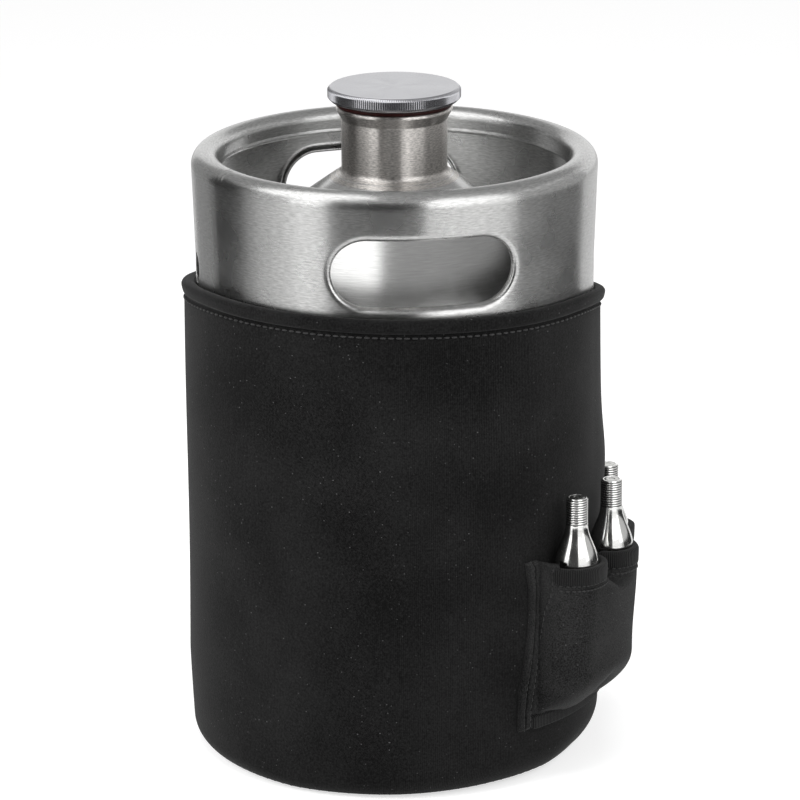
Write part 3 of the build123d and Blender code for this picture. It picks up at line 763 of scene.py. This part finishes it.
hem_stitch_count = int(2 * np.pi * sleeve_radius / HEM_STITCH_PITCH)
hem_stitch_azimuth = np.linspace(-180, 180, hem_stitch_count, endpoint=False)
hem_stitch_height = hem_foot(hem_stitch_azimuth, sleeve_radius) - HEM_STITCH_DROP
hem_stitch_radius = sleeve_out(hem_stitch_azimuth, hem_stitch_height) - HEM_STITCH_SINK
hem_stitch_middle = place(hem_stitch_azimuth, hem_stitch_radius, hem_stitch_height)
hem_stitch_next = hem_stitch_azimuth + 0.5
hem_stitch_step = place(hem_stitch_next, hem_stitch_radius,
                        hem_foot(hem_stitch_next, sleeve_radius) - HEM_STITCH_DROP)
hem_stitches = stitches("hem_stitches", hem_stitch_middle, hem_stitch_step - hem_stitch_middle,
                        place(hem_stitch_azimuth, 1.0, 0.0), HEM_STITCH, THREAD_THICKNESS, bow=0.15)
fit(hem_stitches, "jacket", "neoprene", black_thread)


# Pocket panel: one piece of neoprene sewn to the sleeve's side with four cells raised from it, three
# of them filled. The cloth spans from cell to cell in one sheet and is gathered in at the bottom.
CELL_FIRST_AZIMUTH = 42.5
CELL_PITCH = 18.8
CELL_COUNT = 4
EMPTY_CELL = 3
PANEL = 2.0
CELL_RISE = 19.6           # from the panel's edge to the crest of a filled cell
EMPTY_RISE = 9.0
CELL_FEET = (28.6, 28.6, 28.6, 24.6)          # the last cell is cut deeper than the others
CELL_FOOT_TOPS = (50.0, 50.0, 48.0, 35.0)
EDGE_FOOT_RISE = 3.2       # the panel's lower edge lies this much higher at its front side
CELL_TAPER = 1.9           # the pocket stands out less towards its foot
BINDING_BAND = 7.0
MOUTH_TUCK = 2.0           # the panel's upper edge ends this far inside its tape
STRIP_TUCK = 1.4           # degrees that the panel's side edges reach under the strips
SEW_GAP = 0.1
PANEL_TOP_EDGE = 100.0
PANEL_MIDDLE_ROW = 40      # the row of the panel's mesh at which its width is taken
STRIP_HEIGHTS = (25, 35, 43, 51.5, 60, 68, 78, 88.5, 101)
STRIP_OUTER = (26.6, 26.7, 26.9, 28.2, 29.2, 29.9, 30.5, 30.4, 29.0)  # degrees, the front strip's two edges
STRIP_INNER = (31.0, 31.2, 32.4, 33.4, 33.8, 33.8, 33.9, 34.6, 35.0)
POCKET_MIRROR = 141.4      # the back strip is the front one turned over about the pocket's middle

pocket_inner = sleeve_radius + SEW_GAP
cell_azimuths = CELL_FIRST_AZIMUTH + CELL_PITCH * np.arange(CELL_COUNT)
cell_rises = np.where(np.arange(CELL_COUNT) + 1 == EMPTY_CELL, EMPTY_RISE, CELL_RISE)
cell_mouths = [corners(f"cell_binding_{number}")[1][2] for number in range(1, CELL_COUNT + 1)]


def mouth(azimuth):
    """Height of the cells' mouths: level over each cell, with even slopes from one cell to the next."""
    sides = np.stack([cell_azimuths - 6, cell_azimuths + 6], -1).ravel()
    return np.interp(azimuth, sides, np.repeat(cell_mouths, 2))


def panel_foot(azimuth):
    """Height of the panel's lower edge: level, lower at the last cell and drawn up at the front side."""
    return np.interp(azimuth, cell_azimuths, CELL_FEET) + EDGE_FOOT_RISE * (1 - smooth(azimuth - 33, 1, 14))


def pocket_reach(azimuth, height):
    """Outside radius of the pocket: a round arch over each cell, one sheet from cell to cell half way
    up and valleys at the mouths and the feet, drawn in to the sleeve at the cells' feet."""
    place_in_row = (azimuth - CELL_FIRST_AZIMUTH) / CELL_PITCH
    cell = np.clip(np.round(place_in_row), 0, CELL_COUNT - 1)
    off = np.clip(np.abs(place_in_row - cell) * 2, 0, 1)
    arch = (1 - off**2.3) ** 0.62
    rise = np.interp(azimuth, cell_azimuths, cell_rises)
    rise = rise * (1 - CELL_TAPER / CELL_RISE * smooth(mouth(azimuth) - height, 8, 45))
    inside = (place_in_row > 0) & (place_in_row < CELL_COUNT - 1)
    foot, foot_top = panel_foot(azimuth), np.interp(azimuth, cell_azimuths, CELL_FOOT_TOPS)
    fill = smooth(height, foot_top - 23, foot_top - 2) * smooth(mouth(azimuth) - height, 6, 15)
    arch = np.where(inside, fill + (1 - fill) * arch, arch)
    depth = np.clip((height - foot) / (foot_top - foot), 0, 1)
    bulge = rise * arch * np.sin(np.pi / 2 * depth) ** 0.8
    return pocket_inner + slack(azimuth, height) * 0.5 + PANEL + bulge


def across_panel(share, height):
    """Azimuth of a place across the panel, from its edge under the front strip to that under the back."""
    edge = np.interp(height, STRIP_HEIGHTS, STRIP_INNER) - STRIP_TUCK
    return edge + (POCKET_MIRROR - 2 * edge) * share


panel_share = np.linspace(0, 1, 181)
panel_top = mouth(across_panel(panel_share, PANEL_TOP_EDGE)) - MOUTH_TUCK
panel_low = panel_foot(across_panel(panel_share, PANEL_TOP_EDGE))
panel_rise = np.linspace(0, 1, 72)[:, None]
panel_height = panel_low + (panel_top - panel_low) * panel_rise
panel_azimuth = across_panel(panel_share, panel_height)
panel_radius = pocket_reach(panel_azimuth, panel_height)
panel_cloth = 1 - 0.85 * smooth(panel_top - panel_height, 6, 43)     # stretched thin over the cartridges
panel_out = place(panel_azimuth, panel_radius, panel_height)
panel_in = place(panel_azimuth, np.maximum(panel_radius - PANEL * panel_cloth, pocket_inner), panel_height)
panel_in[:, [0, -1]] = panel_out[:, [0, -1]]
panel_loop = np.concatenate([panel_out, panel_in[::-1]])
panel_across = np.radians(panel_azimuth[PANEL_MIDDLE_ROW]) * (pocket_inner + 10)
panel_along = np.concatenate([panel_height, 2 * panel_top[None] - panel_height[::-1], panel_height[:1]])
panel_flat = np.stack(np.broadcast_arrays(panel_across, panel_along), -1)
pocket_cloth = knit_neoprene("black pocket neoprene", "#000000", "#343434", rib=0.8, grain=0.6)
panel = skin("pocket_panel_cloth", (panel_loop, panel_flat, (True, False)), sharp=65)
fit(panel, "jacket", "neoprene", pocket_cloth, "pocket_panel")


# Cell bindings: knit tape folded over the mouth of each cell and sewn through with a row of stitches.
# The tape's fine ribs run across it.
BINDING = 0.6
BINDING_REACH = 8.9        # degrees from a cell's middle to the ends of its tape
TAPE_RIB = 0.9
TAPE_STITCH_PITCH = 2.6
TAPE_STITCH = 1.6
TAPE_THREAD = 0.55
TAPE_STITCH_DROPS = (BINDING_BAND + 0.4, BINDING_BAND + 2.6)


def ribbed_tape(name, colour, shadow, rib):
    """Knit binding tape: dull black with ribs across it, `rib` millimetres apart, soft and worn, with painted
    shade darkening the hollows between the ribs.
    """
    material, tree, shader = bare_material(name)
    flat = add(tree, "UVMap", uv_map="Flat")
    ribs = add(tree, "TexWave", {"Vector": flat.outputs["UV"], "Scale": 1 / (rib * WAVE_SCALE),
                                 "Distortion": 0.6, "Detail": 2.0}, bands_direction="X")
    fuzz = add(tree, "TexNoise", {"Vector": flat.outputs["UV"], "Scale": 1.4, "Detail": 3.0,
                                  "Roughness": 0.7})
    # Painted shade: the hollows between the ribs, broken up by random fuzz, pull the colour to the shadow
    # colour.
    worn = add(tree, "Math", {0: ribs.outputs["Fac"], 1: fuzz.outputs["Fac"]}, operation="MULTIPLY")
    relief = add(tree, "Math", {0: ribs.outputs["Fac"], 1: fuzz.outputs["Fac"]}, operation="ADD")
    bump = add(tree, "Bump", {"Height": relief.outputs["Value"], "Strength": 0.8, "Distance": 0.0003})
    tint = add(tree, "Mix", {0: worn.outputs["Value"], 6: linear(shadow), 7: linear(colour)},
               data_type="RGBA")
    wire(tree, shader, {"Base Color": tint.outputs[2], "Roughness": 0.8, "Specular IOR Level": 0.16,
                        "Sheen Weight": 0.06, "Normal": bump.outputs["Normal"]})
    return material


def swept(line, out, section):
    """Patch of a closed section of (out, up) points carried along a line, with rounded closed ends."""
    middle = section.mean(0)
    ends = [0.0, 0.6, 0.9]
    share = np.concatenate([ends, np.ones(len(line) - 6), ends[::-1]])[:, None, None]
    shrunk = middle + (section - middle) * share
    points = line[:, None] + shrunk[..., :1] * out[:, None] + shrunk[..., 1:] * np.array([0, 0, 1.0])
    flat = np.stack(np.broadcast_arrays(lengths(line)[:, None],
                                        lengths(np.concatenate([section, section[:1]]))), -1)
    return points.swapaxes(0, 1), flat.swapaxes(0, 1), (True, False)


def outwards(line):
    """Level direction square to a line that runs with growing azimuth, pointing away from the keg."""
    run = np.gradient(line, axis=0)
    out = np.stack([run[:, 1], -run[:, 0], np.zeros(len(run))], -1)
    return out / np.linalg.norm(out, axis=1)[:, None]


# The second colour is the painted shade in the hollows between the tape's ribs.
tape = ribbed_tape("black ribbed tape", "#343434", "#030303", TAPE_RIB)
binding_section = outline((-PANEL - BINDING, -BINDING_BAND, 0.4), (BINDING, -BINDING_BAND, 0.5),
                          (BINDING + 0.2, 0, 1.5), (-PANEL - BINDING, 0, 1.3), steps=6)
sewn = []
for number, middle in enumerate(cell_azimuths, 1):
    azimuth = np.linspace(middle - BINDING_REACH, middle + BINDING_REACH, 61)
    line = place(azimuth, pocket_reach(azimuth, mouth(azimuth) - BINDING_BAND), mouth(azimuth))
    binding = skin(f"cell_binding_{number}_tape", swept(line, outwards(line), binding_section), sharp=60)
    fit(binding, "jacket", "binding", tape, f"cell_binding_{number}")
    count = int(lengths(line)[-1] / TAPE_STITCH_PITCH)
    spots = np.linspace(4, 56, count).astype(int)
    rows = []
    for drop in TAPE_STITCH_DROPS:
        reach = pocket_reach(azimuth, mouth(azimuth) - drop)
        rows.append(place(azimuth, reach + 0.15, mouth(azimuth) - drop)[spots])
    along, out = np.tile(np.gradient(line, axis=0)[spots], (2, 1)), np.tile(outwards(line)[spots], (2, 1))
    threads = stitches(f"cell_binding_{number}_stitches", np.concatenate(rows), along, out,
                       TAPE_STITCH, TAPE_THREAD, bow=0.1)
    fit(threads, "jacket", "binding", black_thread)
    sewn += [binding, threads]


# Pocket strips: the panel's two side edges folded over and sewn down, so that each strip swells into
# a tight outer roll and a flatter band that climbs on to the first cell's flank.
STRIP_THICKNESS = 3.2
STRIP_BAND_THICKNESS = 2.7
STRIP_SEAM = 0.8
STRIP_GROOVE = 0.9
STRIP_ROLL = 0.38          # share of the strip's width that its outer roll takes
STRIP_BOTTOM = 25.0
STRIP_TOP = 100.5
STRIP_END_ROUND = 1.8
STRIP_ROWS = (0.4, 0.84)   # stitch rows, as shares of the width
STRIP_STITCH_PITCH = 2.8
STRIP_STITCH = 1.9
STRIP_THREAD = 0.6


def across_strip(share, height, side):
    """Azimuth of a place across a strip, from its outer edge to its inner one. The back strip is the
    front one turned over."""
    outer = np.interp(height, STRIP_HEIGHTS, STRIP_OUTER)
    azimuth = outer + share * (np.interp(height, STRIP_HEIGHTS, STRIP_INNER) - outer)
    return azimuth if side > 0 else POCKET_MIRROR - azimuth


def strip_swell(share):
    """Thickness of a strip across its width: a round roll, a seam and a flat band with round edges."""
    roll = STRIP_THICKNESS * np.sqrt(np.clip(1 - np.abs(2 * share / STRIP_ROLL - 1) ** 2.6, 0, 1))
    along_band = np.clip((share - STRIP_ROLL) / (1 - STRIP_ROLL), 0, 1)
    band = STRIP_BAND_THICKNESS * np.sqrt(np.clip(1 - np.abs(2 * along_band - 1) ** 6, 0, 1))
    band = band - STRIP_GROOVE * hill(share, STRIP_ROWS[1], 0.06)
    seam = STRIP_SEAM * smooth(np.minimum(share, 1 - share), 0, 0.05)
    return np.maximum(np.where(share < STRIP_ROLL, roll, band), seam)


strip_share = np.linspace(0, 1, 61)
strip_height = np.linspace(STRIP_BOTTOM, STRIP_TOP, 90)[:, None]
from_end = np.minimum(strip_height - STRIP_BOTTOM, STRIP_TOP - strip_height)
strip_ends = np.sqrt(np.clip(from_end / STRIP_END_ROUND, 0.02, 1))
puff = 1 + 0.07 * np.sin(strip_height / 2.9 + 1.0) * np.sin(strip_height / 5.3)
strip_turn = np.mean(across_strip(1, strip_height, 1) - across_strip(0, strip_height, 1))
strip_width = np.radians(strip_turn) * pocket_inner
stitch_height = np.arange(STRIP_BOTTOM + 2.5, STRIP_TOP - 2, STRIP_STITCH_PITCH)
for name, side in (("front", 1), ("back", -1)):
    azimuth = across_strip(strip_share, strip_height, side)
    under = pocket_reach(azimuth, strip_height) - PANEL
    front = place(azimuth, under + strip_swell(strip_share) * strip_ends * puff, strip_height)
    back = place(azimuth, np.maximum(under - 1.5, pocket_inner - 0.4), strip_height)
    loop = np.concatenate([front, back[:, ::-1]], 1)[:, ::side]
    around = strip_width * np.concatenate([strip_share, 2 - strip_share[::-1]])[::side]
    flat = np.stack(np.broadcast_arrays(np.append(around, around[0]), strip_height), -1)
    strip = skin(f"pocket_{name}_strip_fold", (loop, flat, (False, True)), sharp=60)
    fit(strip, "jacket", "neoprene", pocket_cloth, f"pocket_{name}_strip")
    rows = []
    for row in STRIP_ROWS:
        azimuth = across_strip(row, stitch_height, side)
        depth = pocket_reach(azimuth, stitch_height) - PANEL + strip_swell(np.array([row]))
        rows.append(place(azimuth, depth + 0.1, stitch_height))
    middles = np.concatenate(rows)
    out = middles * np.array([1, 1, 0]) / np.linalg.norm(middles[:, :2], axis=1)[:, None]
    upright = np.tile([0, 0, 1.0], (len(middles), 1))
    threads = stitches(f"pocket_{name}_strip_stitches", middles, upright, out, STRIP_STITCH, STRIP_THREAD,
                       bow=0.1)
    fit(threads, "jacket", "neoprene", black_thread)
    sewn += [strip, threads]


# Pocket bottom binding: the same ribbed tape along the pocket's lower edge, under the cells' feet. With
# it the pocket is whole.
BOTTOM_BAND = 6.0
BOTTOM_BAND_THICKNESS = 2.6

foot_azimuth = np.linspace(STRIP_INNER[0] - 1.0, POCKET_MIRROR - STRIP_INNER[0] + 1.0, 121)
foot_line = place(foot_azimuth, pocket_inner + slack(foot_azimuth, STRIP_BOTTOM) * 0.5, STRIP_BOTTOM)
foot_section = outline((-0.2, 0, 0.3), (BOTTOM_BAND_THICKNESS, 0, 0.9),
                       (BOTTOM_BAND_THICKNESS, BOTTOM_BAND, 0.9), (-0.2, BOTTOM_BAND, 0.3), steps=6)
foot = skin("pocket_bottom_tape", swept(foot_line, outwards(foot_line), foot_section), sharp=60)
fit(foot, "jacket", "binding", tape, "pocket_bottom_binding")


# Gas cartridges: drawn steel, bright plated, with a round bottom, a sloping shoulder and a rolled
# fine thread on the neck. A small stamped seal closes the top.
CARTRIDGE_THREAD = 12.2
CARTRIDGE_THREAD_RADIUS = 4.75
CARTRIDGE_SHOULDER = 17.0
CARTRIDGE_PITCH = 1.058
CARTRIDGE_RELIEF = 0.4
CARTRIDGE_COLUMNS = 48
THREAD_MARK = 1000         # turns added to the thread's flat heights, so that the finish can tell it
STEM_BEVEL = 0.5
SEAL_RADIUS = 3.2
SEAL_HEIGHT = 0.4
SEAL_DIMPLE = 0.15


def bright_plate(name, colour, rough, scratch):
    """Bright zinc plate on drawn steel: a near mirror with hair scratches, faint dull clouds and painted
    shade that darkens the roots of a thread, where its grooves hold shade.

    Scratches, a few hundredths wide on the real metal, are drawn `scratch` millimetres wide.
    """
    material, tree, shader = bare_material(name)
    flat = add(tree, "UVMap", uv_map="Flat")
    drawn = add(tree, "Mapping", {"Vector": flat.outputs["UV"], "Scale": (1 / scratch, 1 / 12, 1)})
    hair = add(tree, "TexNoise", {"Vector": drawn.outputs["Vector"], "Scale": 1.0, "Detail": 3.0})
    cloud = add(tree, "TexNoise", {"Vector": flat.outputs["UV"], "Scale": 0.18, "Detail": 3.0})
    dull = add(tree, "MapRange", {"Value": cloud.outputs["Fac"], "From Min": 0.35, "From Max": 0.75,
                                  "To Min": rough, "To Max": rough * 2.2})
    bump = add(tree, "Bump", {"Height": hair.outputs["Fac"], "Strength": 0.5, "Distance": 0.00001})
    # Painted shade: the roots of the thread turn towards near black, standing in for the shade in its
    # grooves.
    screw = (-1 / (2 * np.pi * CARTRIDGE_THREAD_RADIUS), 1 / CARTRIDGE_PITCH, 0)
    turns = add(tree, "VectorMath", {0: flat.outputs["UV"], 1: screw}, operation="DOT_PRODUCT")
    phase = add(tree, "Math", {0: turns.outputs["Value"], 1: 0.5}, operation="PINGPONG")
    groove_shade = add(tree, "MapRange", {"Value": phase.outputs["Value"], "From Min": 0.26, "From Max": 0.06,
                                 "To Min": 0.0, "To Max": 0.9})
    thread = add(tree, "Math", {0: turns.outputs["Value"], 1: THREAD_MARK / 2}, operation="GREATER_THAN")
    groove_shade = add(tree, "Math", {0: groove_shade.outputs["Result"], 1: thread.outputs["Value"]}, operation="MULTIPLY")
    tint = add(tree, "Mix", {0: groove_shade.outputs["Value"], 6: linear(colour), 7: linear("#1e1e1d")},
               data_type="RGBA")
    wire(tree, shader, {"Base Color": tint.outputs[2], "Metallic": 1.0, "Roughness": dull.outputs["Result"],
                        "Normal": bump.outputs["Normal"]})
    return material


plate = bright_plate("bright zinc plate", "#f2f2f0", rough=0.1, scratch=0.4)
seal_plate = bright_plate("stamped seal plate", "#cfcfcc", rough=0.16, scratch=0.3)
for number in (1, 2, 3):
    low, high = corners(f"gas_cartridge_{number}")
    centre, body_radius = (low + high) / 2, (high - low)[0] / 2
    length = high[2] - low[2]
    shoulder_low = length - CARTRIDGE_THREAD - CARTRIDGE_SHOULDER
    narrowing = body_radius - CARTRIDGE_THREAD_RADIUS
    body = outline((0, 0, 0), (body_radius, 0, body_radius - 0.3), (body_radius, shoulder_low, 0), steps=20)
    slope = np.linspace(0, 1, 26)[1:]
    shoulder = np.stack([body_radius - narrowing * slope**2 * (3 - 2 * slope),
                         shoulder_low + CARTRIDGE_SHOULDER * slope], -1)
    stem_angle = np.radians(np.linspace(0, 360, CARTRIDGE_COLUMNS + 1))
    stem_height = np.linspace(length - CARTRIDGE_THREAD, length - STEM_BEVEL, 100)[:, None]
    cut = 1 - ridge(stem_height, stem_angle, CARTRIDGE_PITCH, 0.5, 0.42)
    cut = cut * ends_fade(stem_height, length - CARTRIDGE_THREAD + 0.4, length + 2, 0.8)
    stem_radius = CARTRIDGE_THREAD_RADIUS - CARTRIDGE_RELIEF * cut
    stem_end = CARTRIDGE_THREAD_RADIUS - CARTRIDGE_RELIEF - 0.1
    stem_radius[-1] = stem_end
    stem = threaded(stem_radius, stem_angle, stem_height, CARTRIDGE_THREAD_RADIUS,
                    THREAD_MARK * CARTRIDGE_PITCH)
    crown = outline((stem_end, length - STEM_BEVEL, 0), (stem_end - 0.2, length, 0.15),
                    (SEAL_RADIUS + 0.1, length, 0.1), (SEAL_RADIUS + 0.1, length - SEAL_HEIGHT, 0),
                    (0, length - SEAL_HEIGHT, 0), steps=4)
    middle = np.array([centre[0], centre[1], low[2]])
    patches = [turned(np.concatenate([body, shoulder]), CARTRIDGE_COLUMNS, closed=False), stem,
               turned(crown, CARTRIDGE_COLUMNS, closed=False)]
    cartridge = skin(f"gas_cartridge_{number}_shell", *[(p + middle, f, w) for p, f, w in patches], sharp=50)
    fit(cartridge, f"cartridge_{number}", "plated_steel", plate, f"gas_cartridge_{number}")
    seal_line = outline((0, length - SEAL_HEIGHT, 0), (SEAL_RADIUS, length - SEAL_HEIGHT, 0),
                        (SEAL_RADIUS, length, 0.15), (1.6, length, 0.2), (1.2, length - SEAL_DIMPLE, 0.2),
                        (0, length - SEAL_DIMPLE, 0), steps=4)
    points, flat, wrap = turned(seal_line, 40, closed=False)
    seal = skin(f"cartridge_seal_{number}_disc", (points + middle, flat, wrap), sharp=50)
    fit(seal, f"cartridge_{number}", "seal_foil", seal_plate, f"cartridge_seal_{number}")


# Studio: a white floor and background, soft light from both sides and from above, and bright cards and
# dark flags that only polished metal sees, set round it to draw edges on steel.
CAMERA_DISTANCE = 1955.0
CAMERA_AZIMUTH = -8.5
CAMERA_ELEVATION = 16.67
CAMERA_ROLL = -0.2
CAMERA_LENS = 202.4
TARGET = np.array([0, 0, 150.0])
AIM_RIGHT = 2.02
AIM_UP = 1.45
FLOOR_REACH = 3000.0
FLOOR_DROP = 0.3
WHITE = (1, 1, 1, 1)
CARD_RADIUS = 520.0
CARDS = (                  # degrees round from the camera, heights and brightness
    (-150, -117, 0, 540, 0.35), (-117, -88, 0, 540, 0.03), (-88, -79, 0, 540, 0.32), (-79, -66, 0, 540, 0.64),
    (-66, -55, 0, 540, 0.86), (-55, -36, 200, 540, 1.9), (-35, 15, 0, 640, 0.05), (18, 51, 240, 500, 2.1),
    (51, 60, 0, 140, 0.84), (60, 68, 0, 140, 0.46), (68, 126, 0, 140, 0.02), (51, 66, 140, 500, 1.5),
    (66, 126, 140, 500, 0.5), (-83, -40, 540, 1000, 2.2), (18, 66, 500, 1000, 2.2))
CANOPY_HEIGHT = 700.0
CANOPIES = (               # reach to the right and away, as the camera sees it, and brightness
    (-700, 700, 40, 850, 0.38), (-60, 700, -260, 40, 0.45), (-700, -60, -260, 40, 2.2),
    (-150, 180, -520, -260, 0.45))

scene = bpy.context.scene
scene.view_settings.view_transform = "Standard"

world = bpy.data.worlds.new("studio")
scene.world = world
world.use_nodes = True
sky = world.node_tree
ray = add(sky, "LightPath")
seen = add(sky, "Math", {0: ray.outputs["Is Camera Ray"], 1: ray.outputs["Is Glossy Ray"]},
           operation="MAXIMUM")
seen = add(sky, "Math", {0: seen.outputs["Value"], 1: ray.outputs["Is Transmission Ray"]},
           operation="MAXIMUM")
level = add(sky, "MapRange", {"Value": seen.outputs["Value"], "To Min": 0.5, "To Max": 1.0})
wire(sky, sky.nodes["Background"], {"Color": WHITE, "Strength": level.outputs["Result"]})

floor_line = np.linspace(-FLOOR_REACH, FLOOR_REACH, 3)
floor_grid = np.stack(np.meshgrid(floor_line, floor_line, [-FLOOR_DROP]), -1)[:, :, 0]
floor = skin("floor", (floor_grid, floor_grid[..., :2], (False, False)))
paper, tree, shader = bare_material("white paper floor")
ray = add(tree, "LightPath")
seen = add(tree, "Math", {0: ray.outputs["Is Camera Ray"], 1: 0.62}, operation="MULTIPLY")
glow = add(tree, "Math", {0: ray.outputs["Is Glossy Ray"], 1: 0.3, 2: seen.outputs["Value"]},
           operation="MULTIPLY_ADD")
wire(tree, shader, {"Base Color": linear("#c8c8c8"), "Roughness": 1.0, "Specular IOR Level": 0.0,
                    "Emission Color": WHITE, "Emission Strength": glow.outputs["Value"]})
floor.data.materials.append(paper)


def card(name, points, glow):
    """Stand a card in the studio that only polished metal sees, giving off a share of the white."""
    cloth, tree, shader = bare_material(name)
    wire(tree, shader, {"Base Color": (0, 0, 0, 1), "Specular IOR Level": 0.0, "Emission Color": WHITE,
                        "Emission Strength": glow})
    piece = skin(name, (points, points[..., :2], (False, False)))
    piece.data.materials.append(cloth)
    piece.visible_camera = False
    piece.visible_diffuse = False
    piece.visible_shadow = False
    piece.visible_transmission = False


for start, end, low, high, glow in CARDS:
    azimuth, height = np.meshgrid(CAMERA_AZIMUTH + np.linspace(start, end, 25), [low, high])
    card("upright card", place(azimuth, CARD_RADIUS, height), glow)
for left, right, near, away, glow in CANOPIES:
    across, along = np.meshgrid([left, right], [near, away])
    card("canopy card", place(CAMERA_AZIMUTH + 90, across, CANOPY_HEIGHT)
         + place(CAMERA_AZIMUTH + 180, along, 0), glow)

for name, azimuth, elevation, distance, size, power in (
    ("left softbox", -62, 28, 1100, 700, 9.0),
    ("right softbox", 48, 30, 1200, 700, 7.0),
    ("top softbox", 0, 80, 1200, 900, 7.0),
):
    lamp = bpy.data.lights.new(name, "AREA")
    lamp.size = size / 1000
    lamp.energy = power
    light = bpy.data.objects.new(name, lamp)
    lift = np.radians(elevation)
    spot = place(CAMERA_AZIMUTH + azimuth, distance * np.cos(lift), distance * np.sin(lift)) + TARGET
    towards = Vector(TARGET - spot).to_track_quat("-Z", "Y").to_matrix().to_4x4()
    light.matrix_world = Matrix.Translation(Vector(spot / 1000)) @ towards
    light.visible_glossy = False
    scene.collection.objects.link(light)

camera_lift = np.radians(CAMERA_ELEVATION)
camera_place = TARGET + place(CAMERA_AZIMUTH, CAMERA_DISTANCE * np.cos(camera_lift),
                              CAMERA_DISTANCE * np.sin(camera_lift))
forward = (TARGET - camera_place) / CAMERA_DISTANCE
right = np.cross(forward, [0, 0, 1.0])
right = right / np.linalg.norm(right)
aim = TARGET + right * AIM_RIGHT + np.cross(right, forward) * AIM_UP
facing = Vector(aim - camera_place).to_track_quat("-Z", "Y").to_matrix().to_4x4()
camera = bpy.data.objects.new("camera", bpy.data.cameras.new("camera"))
camera.data.lens = CAMERA_LENS
camera.data.sensor_width = 36.0
camera.matrix_world = (Matrix.Translation(Vector(camera_place / 1000)) @ facing
                       @ Matrix.Rotation(np.radians(CAMERA_ROLL), 4, "Z"))
scene.collection.objects.link(camera)
scene.camera = camera
